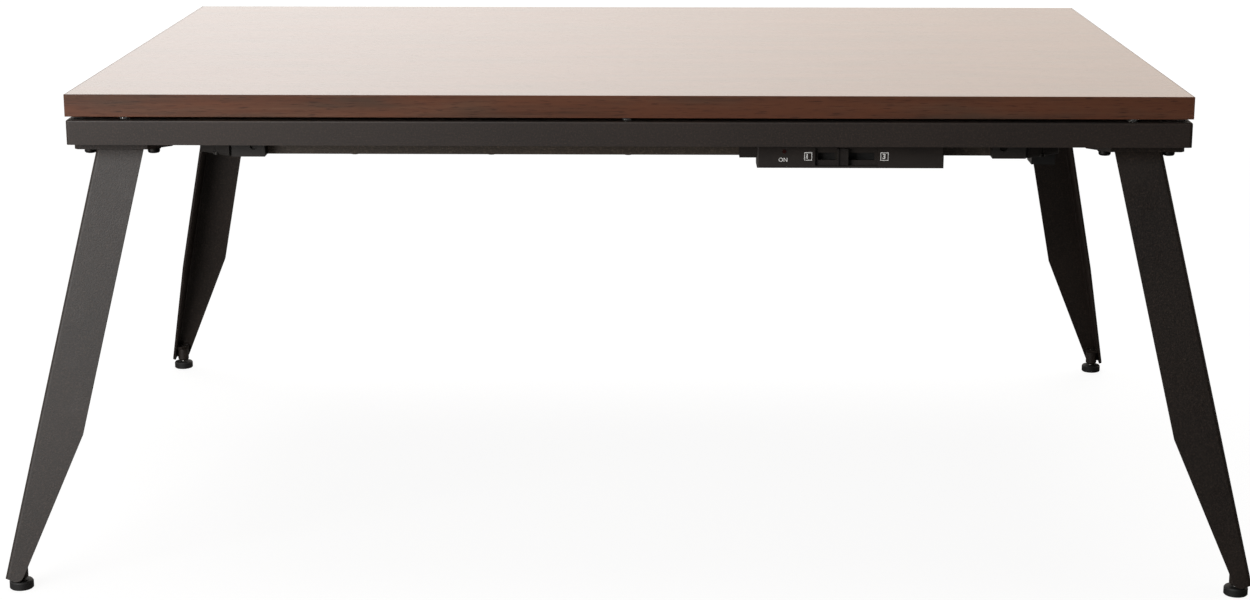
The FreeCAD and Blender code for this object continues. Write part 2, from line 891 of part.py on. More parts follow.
def wing_edges(body, seam, wing_y):
    """The lower edge and the end corner of the wing's slanting face, to be rounded."""
    chosen = []
    for edge in body.Edges:
        ends = [v.Point for v in edge.Vertexes]
        in_reach = all(-case_x - running_fit < p.x < -seam + running_fit for p in ends)
        on_face = in_reach and all(p.y < wing_y + running_fit for p in ends)
        at_bottom = all(abs(p.z - case_bottom) < running_fit for p in ends)
        at_end = all(abs(p.x + case_x) < running_fit and abs(p.y - wing_y) < running_fit for p in ends)
        if at_end or (on_face and at_bottom and abs(ends[0].x - ends[1].x) > overrun):
            chosen.append(edge)
    return chosen


# Heater parts inside the case


def trough_line(lift):
    """Cross section of the two reflector troughs as points of Y and Z, raised by the lift."""
    top = reflector_top - reflector_sheet + lift
    flat = trough_half_width * trough_flat_share
    shoulder = trough_half_width * trough_shoulder_share
    edge = top - trough_height
    shoulder_z = edge + trough_height * trough_shoulder_height_share
    half = [(-trough_half_width, edge), (-shoulder, shoulder_z), (-flat, top)]
    half += [(flat, top), (shoulder, shoulder_z)]
    near = [(y - element_y, z) for y, z in half]
    far = [(y + element_y, z) for y, z in half]
    return near + far + [(2 * trough_half_width, edge)]


def make_reflector():
    """Sheet folded into two troughs side by side."""
    start = -reflector_x
    below = [vec(start, y, z) for y, z in trough_line(0)]
    above = [vec(start, y, z) for y, z in trough_line(reflector_sheet)]
    wire = Part.makePolygon(below + above[::-1] + below[:1])
    nodes["reflector"] = Part.Face(wire).extrude(vec(reflector_x * 2, 0, 0))
    half_x = reflector_x
    half_y = 2 * trough_half_width
    board_bottom = roof - insulation_thickness
    nodes["heat_insulation"] = box((-half_x, -half_y, board_bottom), (half_x, half_y, roof))


def make_end_plates():
    half_y = 2 * trough_half_width
    plates = []
    for side in (-1, 1):
        near = side * reflector_x
        far = side * (reflector_x + end_plate_sheet)
        plate = box((min(near, far), -half_y, end_plate_bottom), (max(near, far), half_y, roof))
        start = near - side * overrun
        end = far + side * overrun
        hole = tube_radius + loose_fit
        plates.append(plate.cut([bar_x(hole, start, end, y, tube_z) for y in (-element_y, element_y)]))
    nodes["element_end_plates"] = group(plates)


def make_elements():
    """Two quartz tubes with a heating core, each held by a ceramic block at both ends."""
    plate_face = reflector_x + end_plate_sheet
    tube_half = plate_face + holder_bore_depth
    tubes = []
    cores = []
    holders = []
    for y in (-element_y, element_y):
        tube = bar_x(tube_radius, -tube_half, tube_half, y, tube_z)
        tubes.append(tube.cut(bar_x(tube_radius - tube_wall, -tube_half, tube_half, y, tube_z)))
        cores.append(bar_x(core_radius, -tube_half - overrun, tube_half + overrun, y, tube_z))
        for side in (-1, 1):
            near = side * plate_face
            far = side * (plate_face + holder_length)
            half = holder_width / 2
            low = (min(near, far), y - half, tube_z - half)
            high = (max(near, far), y + half, tube_z + half)
            bore = bar_x(tube_radius + running_fit, near, side * tube_half, y, tube_z)
            hole = bar_x(core_radius + running_fit, near, side * (tube_half + overrun), y, tube_z)
            holders.append(box(low, high).cut([bore, hole]))
    nodes["quartz_tubes"] = group(tubes)
    nodes["heating_cores"] = group(cores)
    nodes["element_holders"] = group(holders)


def make_safety():
    """Thermostat under the ridge between the troughs, fuse on the end plate, terminals on the roof."""
    ridge = reflector_top - reflector_sheet - trough_height
    body = rod(thermostat_radius, (0, 0, ridge - thermostat_height), (0, 0, ridge))
    nodes["thermostat"] = body
    x = reflector_x + end_plate_sheet + fuse_radius
    half = fuse_length / 2
    nodes["thermal_fuse"] = rod(fuse_radius, (x, -half, tube_z), (x, half, tube_z))
    half_x = terminal_length / 2
    half_y = terminal_depth / 2
    low = (terminal_x - half_x, terminal_y - half_y, roof - terminal_height)
    block = box(low, (terminal_x + half_x, terminal_y + half_y, roof))
    grooves = []
    for i in (-1, 0, 1):
        x = terminal_x + i * terminal_length / 3
        start = (x - terminal_groove, terminal_y - terminal_groove, low[2] - overrun)
        end = (x + terminal_groove, terminal_y + terminal_groove, low[2] + terminal_groove)
        grooves.append(box(start, end))
    nodes["terminal_block"] = block.cut(grooves)


# Guard


def make_guard():
    """Ring of wire under the cover with cross wires that bow down below the window."""
    ring = guard_ring()
    wires = [ring]
    low = guard_z - guard_drop
    foot = guard_y - guard_slope_run
    first = -(guard_wires - 1) / 2
    pitch = 2 * (guard_x - guard_corner) / (guard_wires - 1)
    for i in range(guard_wires):
        x = (first + i) * pitch
        path = [(x, -guard_y, guard_z), (x, -foot, low), (x, foot, low), (x, guard_y, guard_z)]
        wires.append(tube_along(path, guard_wire, guard_bend / guard_slope_run))
    end = guard_x - guard_corner
    spread = 2 * foot / (guard_runners + 1)
    for i in range(guard_runners):
        y = -foot + (i + 1) * spread
        wires.append(bar_x(guard_wire, -end - guard_wire, end + guard_wire, y, low - guard_wire))
    nodes["heater_guard"] = fuse(wires)


def guard_ring():
    x = guard_x
    y = guard_y
    r = guard_corner
    z = guard_z
    bend = r * (1 - math.sqrt(0.5))
    path = []
    corners = [(x, y), (-x, y), (-x, -y), (x, -y)]
    for i, (cx, cy) in enumerate(corners):
        sx = cx / abs(cx)
        sy = cy / abs(cy)
        side_end = vec(cx, cy - sy * r, z)
        top_end = vec(cx - sx * r, cy, z)
        start, end = (side_end, top_end) if i % 2 == 0 else (top_end, side_end)
        path.append(Part.Arc(start, vec(cx - sx * bend, cy - sy * bend, z), end).toShape())
    for here, after in zip(path, path[1:] + path[:1]):
        path.append(Part.LineSegment(here.Vertexes[-1].Point, after.Vertexes[0].Point).toShape())
        if len(path) == 2 * len(corners):
            break
    wire = Part.Wire(Part.__sortEdges__(path))
    section = Part.Wire([Part.makeCircle(guard_ring_wire, vec(0, y, z), ALONG_X)])
    return wire.makePipeShell([section], True, False)


def make_clips():
    """Saddle clips that hold the guard's ring against the cover."""
    drop = 2 * guard_ring_wire + clip_wall
    half_l = clip_length / 2
    half_w = clip_width / 2
    clips = []
    for side in (-1, 1):
        for share in (-1, 0, 1):
            x = share * (guard_x - 2 * guard_corner) + (guard_corner / 2 if share == 0 else 0)
            y = side * guard_y
            low = (x - half_l, y - half_w, case_bottom - drop)
            clip = box(low, (x + half_l, y + half_w, case_bottom))
            groove = bar_x(guard_ring_wire + running_fit, x - clip_length, x + clip_length, y, guard_z)
            reach = side * (guard_ring_wire + running_fit)
            mouth_low = (x - clip_length, min(y - reach, y + reach), guard_z)
            mouth_high = (x + clip_length, max(y - reach, y + reach), case_bottom)
            clips.append(clip.cut([groove, box(mouth_low, mouth_high)]))
    nodes["guard_clips"] = group(clips)


# Inlet


def make_inlet():
    """Socket at the case's right wall, open downwards, with two round pins."""
    mid_x = (inlet_inner + inlet_outer) / 2
    mid_y = (inlet_front + inlet_back) / 2
    top = inlet_bottom + inlet_height
    floor = inlet_bottom + inlet_cavity
    low = (inlet_inner + inlet_wall, inlet_front + inlet_wall, inlet_bottom - overrun)
    high = (inlet_outer - inlet_wall, inlet_back - inlet_wall, floor)
    pins = []
    holes = []
    for side in (-1, 1):
        y = mid_y + side * pin_pitch / 2
        pins.append(upright(pin_radius, mid_x, y, floor - pin_length, top))
        holes.append(upright(pin_radius, mid_x, y, floor, top))
    nodes["inlet_body"] = inlet_block().cut([box(low, high)] + holes)
    nodes["inlet_pins"] = group(pins)


# Control box


def control_block(across, forward, heights):
    """Box given by pairs of X, of distance in front of the table's middle and of height."""
    return box((across[0], -forward[1], heights[0]), (across[1], -forward[0], heights[1]))


def control_screw_spots():
    middle = (control_front + case_y) / 2
    ear_y = case_y + bracket_reach / 2
    left = (control_left - control_ear / 2, -ear_y)
    return [left, (control_right - control_screw_from_right, -middle)]


def make_control_case():
    """Box that is closed by a lid above, with a recessed track and an ear at its left."""
    wall = control_wall
    wide = (control_left, control_right)
    shell = control_block(wide, (case_y, control_front), (control_bottom, control_top))
    front_edges = [e for e in shell.Edges if all(v.Y < -control_front + overrun for v in e.Vertexes)]
    visible = [e for e in front_edges if not all(v.Z > control_top - overrun for v in e.Vertexes)]
    shell = shell.makeFillet(control_round, visible)
    inner_x = (control_left + wall, control_right - wall)
    inner_y = (case_y + wall, control_front - wall)
    room = control_block(inner_x, inner_y, (control_bottom + wall, control_top))
    tub_x = (track_left - wall, track_right + wall)
    tub = control_block(tub_x, (track_back, track_floor), (control_bottom, control_top))
    track_x = (track_left, track_right)
    track = control_block(track_x, (track_floor, control_front + overrun), (track_bottom, track_top))
    ear_bottom = frame_bottom - control_ear_height
    ear_x = (control_left - control_ear, control_left)
    ear = control_block(ear_x, (case_y, bracket_front), (ear_bottom, frame_bottom))
    slot_left = knob_x - stem_width / 2 - slide_left - knob_clearance
    slot_right = knob_x + stem_width / 2 + slide_right + knob_clearance
    slot_z = (stem_bottom - knob_clearance, stem_top + knob_clearance)
    slot = control_block((slot_left, slot_right), (track_back - overrun, control_front), slot_z)
    x, y = control_screw_spots()[1]
    pillar = upright(control_screw_head + wall, x, y, control_bottom, control_top)
    case = fuse([shell.cut(room), tub.common(shell), ear, pillar.common(shell)])
    cutters = [track, slot, lead_passage(), lamp_hole()]
    for (x, y), base in zip(control_screw_spots(), (ear_bottom, control_bottom)):
        seat = base + control_screw_head_height
        cutters.append(upright(control_screw_head + running_fit, x, y, base - overrun, seat))
        cutters.append(upright(control_screw_radius + running_fit, x, y, seat, frame_bottom))
    nodes["control_case"] = case.cut(cutters)


def lead_passage():
    start = -case_y - control_wall - overrun
    return bar_y(lead_hole_radius, lead_x, start, -case_y + overrun, lead_z)


def lamp_hole():
    start = -control_front - overrun
    return bar_y(lamp_radius + running_fit, lamp_x, start, -control_front + control_wall * 2, lamp_z)


def make_control_lid():
    wide = (control_left, control_right)
    lid = control_block(wide, (case_y, control_front), (control_top, frame_bottom))
    x, y = control_screw_spots()[1]
    hole = upright(control_screw_radius + running_fit, x, y, control_top, frame_bottom)
    nodes["control_lid"] = lid.cut(hole)
    screws = []
    ear_bottom = frame_bottom - control_ear_height
    for (x, y), base in zip(control_screw_spots(), (ear_bottom, control_bottom)):
        seat = base + control_screw_head_height
        head = upright(control_screw_head, x, y, base, seat)
        screws.append(head.fuse(upright(control_screw_radius, x, y, seat, frame_bottom)))
    nodes["control_screws"] = group(screws)


def make_slider():
    """Knob with two ribs, its stem through the slot and the contact carriage behind."""
    heights = (track_bottom + knob_clearance, track_top - knob_clearance)
    right = knob_left + knob_width
    back = track_floor + loose_fit
    body = control_block((knob_left, right), (back, control_front), heights)
    rib_y = (control_front, control_front + knob_proud)
    left_rib = control_block((knob_left, knob_left + knob_rib), rib_y, heights)
    right_rib = control_block((right - knob_rib, right), rib_y, heights)
    half = stem_width / 2
    span = (knob_x - half, knob_x + half)
    stem = control_block(span, (carriage_front, back), (stem_bottom, stem_top))
    nodes["slider_knob"] = fuse([body, left_rib, right_rib, stem])
    wide = half + carriage_overlap
    carriage_y = (carriage_front - carriage_depth, carriage_front)
    carriage_z = (stem_bottom - carriage_overlap, stem_top + carriage_overlap)
    nodes["slider_carriage"] = control_block((knob_x - wide, knob_x + wide), carriage_y, carriage_z)


def make_switch():
    """Slide switch body, its board across the box and the pilot lamp on the board."""
    middle = knob_x + (slide_right - slide_left) / 2
    half = switch_length / 2
    bottom = control_bottom + control_wall
    switch_x = (middle - half, middle + half)
    nodes["switch_body"] = control_block(switch_x, (board_front, switch_front), (bottom, track_top))
    board_y = (board_front - board_thickness, board_front)
    left = control_left + board_margin
    right = control_screw_spots()[1][0] - control_screw_head - control_wall - loose_fit
    nodes["control_board"] = control_block((left, right), board_y, (bottom, control_top))
    lens_face = -control_front - lamp_proud
    nodes["pilot_lamp"] = bar_y(lamp_radius, lamp_x, lens_face, -board_front, lamp_z)


# Leads


def make_leads():
    """Leads from the board, the inlet and the elements to the terminals, and one between elements."""
    board_back = -(board_front - board_thickness)
    block_bottom = roof - terminal_height
    block_front = terminal_y - terminal_depth / 2
    block_back = terminal_y + terminal_depth / 2
    inside = -case_y + lead_clearance + case_lip
    hang = block_bottom + terminal_height / 2
    pitch = terminal_length / 3
    near_x = terminal_x - pitch
    far_x = terminal_x + pitch
    from_board = [(lead_x, board_back, lead_z), (lead_x, inside, lead_z)]
    from_board.append((lead_x, inside + lead_hang, hang))
    from_board += [(near_x, block_front - lead_hang, hang), (near_x, block_front, hang)]
    inlet_mid = (inlet_front + inlet_back) / 2
    inlet_z = inlet_bottom + inlet_height / 2 + pin_pitch / 2
    from_inlet = [(inlet_inner, inlet_mid, inlet_z), (inlet_inner - lead_hang, inlet_mid, inlet_z)]
    from_inlet += [(far_x, block_front - lead_hang * 2, hang), (far_x, block_front, hang)]
    end = reflector_x + end_plate_sheet + holder_length
    loop = end + lead_hang * 2
    to_element = [(terminal_x, block_back, hang), (terminal_x, block_back + lead_hang * 2, hang)]
    to_element += [(loop, -element_y, tube_z), (end, -element_y, tube_z)]
    link = [(-end, -element_y, tube_z), (-loop, -element_y, tube_z), (-loop, element_y, tube_z)]
    link.append((-end, element_y, tube_z))
    back_again = [(end, element_y, tube_z), (loop, element_y, tube_z)]
    back_again.append((loop + lead_hang, -element_y, tube_z))
    back_again += [(far_x, block_back + lead_hang * 2, hang), (far_x, block_back, hang)]
    paths = (from_board, from_inlet, to_element, link, back_again)
    nodes["heater_leads"] = group([tube_along(path, lead_radius, lead_bend_share) for path in paths])


make_top()
make_frame()
make_bumpers()
make_plates()
make_fixings()
make_legs()
make_feet()
make_case()
make_cover()
make_brackets()
make_reflector()
make_end_plates()
make_elements()
make_safety()
make_guard()
make_clips()
make_inlet()
make_control_case()
make_control_lid()
make_slider()
make_switch()
make_leads()

os.makedirs("parts", exist_ok=True)
for name, shape in nodes.items():
    shape.exportStep("parts/" + name + ".step")
print(len(nodes), "nodes")
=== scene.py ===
import json
import math

import bpy
import numpy as np
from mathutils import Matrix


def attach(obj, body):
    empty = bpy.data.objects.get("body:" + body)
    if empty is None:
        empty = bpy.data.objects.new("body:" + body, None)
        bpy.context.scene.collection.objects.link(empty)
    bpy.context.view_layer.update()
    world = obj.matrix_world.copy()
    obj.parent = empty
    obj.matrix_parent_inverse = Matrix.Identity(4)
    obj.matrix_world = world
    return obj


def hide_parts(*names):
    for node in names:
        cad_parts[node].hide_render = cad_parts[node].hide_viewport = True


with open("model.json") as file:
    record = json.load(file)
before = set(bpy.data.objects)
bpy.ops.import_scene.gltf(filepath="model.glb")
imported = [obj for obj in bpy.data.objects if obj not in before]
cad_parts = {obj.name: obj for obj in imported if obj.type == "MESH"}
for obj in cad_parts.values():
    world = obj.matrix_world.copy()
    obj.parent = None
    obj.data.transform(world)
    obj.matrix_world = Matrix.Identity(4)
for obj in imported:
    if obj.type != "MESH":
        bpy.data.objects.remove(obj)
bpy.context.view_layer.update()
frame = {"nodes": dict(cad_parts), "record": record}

# Sizes in metres, as in the part
MM = 0.001
FRAME_X = 450 * MM
FRAME_Y = 300 * MM
FRAME_TOP = 379.2 * MM
VENEER_X = 449 * MM
VENEER_Y = 299 * MM
PLATE_BOTTOM = 353 * MM
GUSSET_TOP = 24 * MM
LEG_LEAN = 0.219
FOLD_X = 508.027 * MM
FOLD_Y = 358.027 * MM
SHEET = 2.354 * MM
FLANGE = 38.6 * MM
FOOT_X = 494.826 * MM
FOOT_Y = 344.826 * MM
STUD_RADIUS = 3 * MM
STUD_BOTTOM = 2.5 * MM
STUD_TOP = 24 * MM
CONTROL_FACE = -285 * MM
TUBE_LEVEL = 357.9 * MM
TUBE_FROM_MIDDLE = 52 * MM
BUMPER_HEIGHT = 2.8 * MM
CORNERS = {"front_left": (-1, -1), "front_right": (1, -1), "back_right": (1, 1), "back_left": (-1, 1)}

# Sizes of what is added here: threads, welds, coils, bumper barrels and printed marks
ROUND_SIDES = 28
THREAD_PITCH = 1.25 * MM
THREAD_DEPTH = 0.55 * MM
THREAD_BOTTOM = 8 * MM
THREAD_STEP = 0.17 * MM
SHANK_RADIUS = 2.95 * MM
STUD_END_RADIUS = 2.45 * MM
STUD_END_TAPER = 1.2 * MM
WELD_STEP = 0.35 * MM
COIL_HALF = 214 * MM
COIL_PITCH = 3.1 * MM
COIL_RADIUS = 2.3 * MM
WIRE_RADIUS = 0.42 * MM
TAIL_RADIUS = 1.5 * MM
TAIL_PLACES = (211 * MM, 222 * MM, 230 * MM)
BUMPER_RADIUS = 4 * MM
BUMPER_RINGS = 13
BUMPER_NARROWING = 0.22
BUMPER_FROM_END = 46 * MM
BUMPER_FROM_EDGE = 10 * MM
PRINT_FACE = CONTROL_FACE - 0.04 * MM
CAPITAL_SHARE = 0.7

# Colours that several finishes share
WALNUT_DARK = (0.058, 0.023, 0.0135)
WALNUT_MIDDLE = (0.112, 0.047, 0.027)
WALNUT_LIGHT = (0.18, 0.083, 0.048)
WALNUT_RED = (0.136, 0.048, 0.0245)
WALNUT_SMOKE = (0.076, 0.046, 0.031)
WALNUT_PORE = (0.026, 0.011, 0.007)
WHITE = (1.0, 1.0, 1.0)

# Studio: sizes in metres, and how bright each part looks to the camera, to gloss and to the rest
DOME_RADIUS = 12.0
DOME_RINGS = 24
DOME_SINK = 0.02
FLOOR_RINGS = (0.01, 0.5, 1.5, 4.0, DOME_RADIUS)
STAGE_SIDES = 64
GLOSS_BEHIND = 1.04
GLOSS_LEFT_GAIN = 0.33
GLOSS_TOP_GAIN = 0.09
GLOSS_BEFORE = 0.012
DOME_GLOSS_LEFT = 0.2
FLOOR_GLOSS_LEFT = 0.18
DOME_FILL = 0.15
WORLD_FILL = 0.2
FLOOR_GLOW = 1.09
FLOOR_GLOW_SHARE = 0.84
FLOOR_GLOSS_SHARE = 0.8

# Camera at the photograph's place: sensor in millimetres, tip down and turn left in degrees
PHOTO_WIDTH = 1250
FOCAL_LENGTH_IN_PIXELS = 2428
SENSOR_WIDTH = 36
CAMERA_PLACE = (28.34 * MM, -2214 * MM, 695.4 * MM)
CAMERA_TIP = 13.58
CAMERA_TURN = 0.9035


class Strand:
    """One shader value; arithmetic on it adds Math nodes."""

    def __init__(self, finish, socket):
        self.finish = finish
        self.socket = socket

    def _math(self, operation, first, second):
        return self.finish.node("ShaderNodeMath", {"operation": operation}, {0: first, 1: second})

    def __add__(self, other):
        return self._math("ADD", self, other)

    def __sub__(self, other):
        return self._math("SUBTRACT", self, other)

    def __rsub__(self, other):
        return self._math("SUBTRACT", other, self)

    def __mul__(self, other):
        return self._math("MULTIPLY", self, other)

    __radd__ = __add__
    __rmul__ = __mul__

    def size(self):
        return self._math("ABSOLUTE", self, 0.0)

    def sine(self):
        return self._math("SINE", self, 0.0)


class Finish:
    """A material whose pattern is read from the place on the object."""

    def __init__(self, name, shader="ShaderNodeBsdfPrincipled"):
        self.material = bpy.data.materials.new(name)
        self.material.use_nodes = True
        self.tree = self.material.node_tree
        self.tree.nodes.clear()
        output = self.tree.nodes.new("ShaderNodeOutputMaterial")
        self.skin = self.tree.nodes.new(shader)
        self.tree.links.new(self.skin.outputs[0], output.inputs[0])
        self.place = self.node("ShaderNodeTexCoord", {}, {}, "Object")

    def node(self, kind, settings, values, output=0):
        """Adds a node: its settings first, then the value or the link of each socket."""
        made = self.tree.nodes.new(kind)
        for key, value in settings.items():
            if key == "stops":
                self.set_stops(made.color_ramp, value)
            else:
                setattr(made, key, value)
        for key, value in values.items():
            self.feed(made.inputs[key], value)
        return Strand(self, made.outputs[output])

    def set_stops(self, ramp, stops):
        """Gives a colour ramp its stops, each a position and a colour."""
        while len(ramp.elements) < len(stops):
            ramp.elements.new(0.5)
        for element, (position, colour) in zip(ramp.elements, stops):
            element.position = position
            element.color = (*colour, 1)

    def feed(self, socket, value):
        """Links a strand to a socket, or sets the socket's own value; a colour gets its alpha here."""
        if isinstance(value, Strand):
            self.tree.links.new(value.socket, socket)
        elif isinstance(value, tuple) and len(value) == 3 and len(socket.default_value) == 4:
            socket.default_value = (*value, 1)
        else:
            socket.default_value = value

    def skin_values(self, **values):
        """Sets or links the shader's own sockets; an underscore in a name stands for a space."""
        for key, value in values.items():
            self.feed(self.skin.inputs[key.replace("_", " ")], value)

    def axes(self):
        """The three numbers of the place, in metres."""
        split = self.tree.nodes.new("ShaderNodeSeparateXYZ")
        self.feed(split.inputs[0], self.place)
        return [Strand(self, split.outputs[i]) for i in range(3)]

    def stretched(self, by):
        """The place with each axis multiplied, so that a pattern runs along one axis."""
        return self.node("ShaderNodeVectorMath", {"operation": "MULTIPLY"}, {0: self.place, 1: by})

    def noise(self, scale, detail=3.0, roughness=0.55, place=None):
        """Cloudy noise: how often it repeats per metre, its finer layers and how strong they are."""
        values = {"Vector": place or self.place, "Scale": scale, "Detail": detail, "Roughness": roughness}
        return self.node("ShaderNodeTexNoise", {}, values)

    def cells(self, scale, place=None):
        """Distance to the nearest of many scattered points."""
        return self.node("ShaderNodeTexVoronoi", {}, {"Vector": place or self.place, "Scale": scale})

    def ramp(self, value, stops):
        """The colour that the stops give for a value."""
        return self.node("ShaderNodeValToRGB", {"stops": stops}, {0: value})

    def eased(self, value, low, high, to_low=0.0, to_high=1.0):
        """Value carried smoothly from one range to another and held at its ends."""
        values = {0: value, 1: low, 2: high, 3: to_low, 4: to_high}
        return self.node("ShaderNodeMapRange", {"interpolation_type": "SMOOTHSTEP"}, values)

    def mixed(self, first, second, amount):
        """Two colours mixed by an amount."""
        return self.node("ShaderNodeMix", {"data_type": "RGBA"}, {0: amount, 6: first, 7: second}, 2)

    def bump(self, height, depth, strength):
        """Relief of the given depth in metres."""
        return self.node("ShaderNodeBump", {}, {"Height": height, "Distance": depth, "Strength": strength})


def scaled(parts, by):
    """Three parts multiplied: a colour gets darker below one and paler above it."""
    return tuple(part * by for part in parts)


def grain_scale(along, with_grain, across_grain):
    """How often a pattern repeats per metre on each axis, for grain that runs along x or y."""
    if along == "x":
        return (with_grain, across_grain, across_grain)
    return (across_grain, with_grain, across_grain)


# Finishes


def walnut(name, along, coat, shine, patches, seams):
    """Lacquered walnut: drifting growth lines, fine streaks, short pores and broad patches.

    A growth line is the sine of the place across the grain plus a slow drift. A streak is noise
    squeezed across the grain, and a pore is finer noise above a threshold. A patch is broad noise,
    red above its middle and smoky below it. With seams, a dark hairline shows where the veneer
    meets the edge bands.
    """
    wood = Finish(name)
    slant = 1.7
    fine_lines = 620.0
    wide_lines = 88.0
    x, y, z = wood.axes()
    x_scale, y_scale, _ = grain_scale(along, 1.0, 14.0)
    across = (y if along == "x" else x) + z * slant
    drift = wood.noise(1.5, 2.0, 0.5, wood.stretched((x_scale, y_scale * 0.4, 9.0)))
    slow = wood.noise(2.0, 3.0, 0.55, wood.stretched((x_scale * 1.6, y_scale * 0.7, 11.0)))
    lines = (across * fine_lines + drift * 60.0).sine() * 0.5 + 0.5
    wide = (across * wide_lines + drift * 26.0 + slow * 9.0).sine() * 0.5 + 0.5
    streak = wood.noise(12.0, 4.0, 0.62, wood.stretched((x_scale, y_scale * 3.4, 60.0)))
    fibre = wood.noise(1.0, 2.0, 0.6, wood.stretched(grain_scale(along, 45.0, 2100.0)))
    pore_noise = wood.noise(1.0, 1.0, 0.5, wood.stretched(grain_scale(along, 70.0, 1300.0)))
    pores = wood.eased(pore_noise, 0.58, 0.7)
    tone = lines * 0.1 + wide * 0.14 + streak * 0.4 + slow * 0.26 + fibre * 0.28 - 0.09
    colour = wood.ramp(tone, [(0.2, WALNUT_DARK), (0.5, WALNUT_MIDDLE), (0.84, WALNUT_LIGHT)])
    cloud = wood.noise(5.0, 3.0, 0.6, wood.stretched((x_scale * 1.4, y_scale * 0.5, 9.0)))
    red = wood.eased(cloud, 0.46, 0.62)
    smoke = wood.eased(cloud, 0.5, 0.34)
    colour = wood.mixed(colour, WALNUT_RED, red * patches)
    colour = wood.mixed(colour, WALNUT_SMOKE, smoke * patches)
    colour = wood.mixed(colour, WALNUT_PORE, pores * 0.6)
    if seams:
        to_end = (x.size() - VENEER_X).size()
        to_side = (y.size() - VENEER_Y).size()
        nearest = wood.node("ShaderNodeMath", {"operation": "MINIMUM"}, {0: to_end, 1: to_side})
        hairline = 1.0 - wood.eased(nearest, 0.1 * MM, 0.35 * MM)
        colour = wood.mixed(colour, WALNUT_PORE, hairline * 0.6)
    handling = wood.noise(26.0, 4.0, 0.6)
    relief = streak * 0.3 + fibre * 0.5 - pores * 0.8
    wood.skin_values(Base_Color=colour, Roughness=0.36 + fibre * 0.06 + pores * 0.08 + handling * 0.04)
    wood.skin_values(Specular_IOR_Level=shine, Coat_Weight=coat, Coat_Roughness=0.2, Coat_IOR=1.5)
    wood.skin_values(Normal=wood.bump(relief, 0.03 * MM, 0.5))
    return wood.material


def plain_wood(name, dark, light, along, glue=0.0):
    """Bare timber or board: streaks along one axis, or chips, with flecks and darker glue stains."""
    wood = Finish(name)
    chips = (55.0, 55.0, 260.0)
    scale = chips if along == "chips" else grain_scale(along, 3.0, 70.0)
    streak = wood.noise(2.0, 4.0, 0.6, wood.stretched(scale))
    fleck = wood.cells(1.0, wood.stretched(scaled(scale, 3.0)))
    tone = streak * 0.8 + fleck * 0.25
    colour = wood.ramp(tone, [(0.25, dark), (0.8, light)])
    stain = wood.eased(wood.noise(14.0), 0.5, 0.75)
    colour = wood.mixed(colour, scaled(dark, 0.6), stain * (0.25 + glue))
    wood.skin_values(Base_Color=colour, Roughness=0.72 + fleck * 0.15, Specular_IOR_Level=0.3)
    wood.skin_values(Normal=wood.bump(tone, 0.15 * MM, 0.6))
    return wood.material


def lacquered_frame(name, deep, worn):
    """Matt black-brown lacquer on the rails: pebbled face, closed grain and a hairline at the mitres."""
    coat = Finish(name)
    x, y, z = coat.axes()
    grain = coat.noise(1.0, 3.0, 0.6, coat.stretched((60.0, 60.0, 900.0)))
    speck = coat.noise(820.0, 2.0, 0.7)
    flecks = coat.eased(coat.noise(640.0, 2.0, 0.75), 0.5, 0.68)
    cloud = coat.noise(9.0, 3.0, 0.55)
    tone = grain * 0.2 + speck * 0.55 + cloud * 0.25
    colour = coat.ramp(tone, [(0.34, deep), (0.66, worn)])
    colour = coat.mixed(colour, scaled(worn, 2.0), flecks * 0.5)
    to_mitre = ((x.size() - FRAME_X) - (y.size() - FRAME_Y)).size()
    hairline = 1.0 - coat.eased(to_mitre, 0.15 * MM, 0.6 * MM)
    colour = coat.mixed(colour, (0.004, 0.0035, 0.003), hairline * 0.8)
    near_top = coat.eased(z, FRAME_TOP - 1.6 * MM, FRAME_TOP - 0.2 * MM)
    rub = near_top * coat.eased(cloud, 0.4, 0.7)
    colour = coat.mixed(colour, scaled(worn, 2.2), rub * 0.35)
    coat.skin_values(Base_Color=colour, Roughness=0.46 + speck * 0.14 + cloud * 0.06 - rub * 0.1)
    relief = speck * 0.7 + grain * 0.3
    coat.skin_values(Specular_IOR_Level=0.42, Normal=coat.bump(relief, 0.16 * MM, 0.8))
    return coat.material


def powder_coat(name, deep, pale, grit=760.0, depth=0.2 * MM, level=0.42):
    """Baked powder paint on steel: pebbled skin, pale crests, painted highlight specks on scattered grains
    and rubbed patches.
    """
    paint = Finish(name)
    peel = paint.noise(grit, 2.0, 0.7)
    crests = paint.eased(paint.noise(grit * 0.8, 2.0, 0.75), 0.5, 0.68)
    grains = paint.cells(grit * 1.5)
    cloud = paint.noise(11.0, 3.0, 0.5)
    handled = paint.eased(paint.noise(32.0, 4.0, 0.6), 0.52, 0.75)
    colour = paint.ramp(peel * 0.7 + cloud * 0.3, [(0.34, deep), (0.66, pale)])
    colour = paint.mixed(colour, scaled(pale, 2.0), crests * 0.5)
    # Painted highlight: pale specks at the grain centres stand in for glints of light
    painted_glint = paint.eased(grains, 0.12, 0.02)
    colour = paint.mixed(colour, scaled(pale, 2.6), painted_glint * 0.3)
    paint.skin_values(Base_Color=colour, Roughness=0.44 + peel * 0.16 + handled * -0.06)
    relief = peel * 0.8 + grains * 0.3
    paint.skin_values(Specular_IOR_Level=level, Normal=paint.bump(relief, depth, 0.7))
    return paint.material


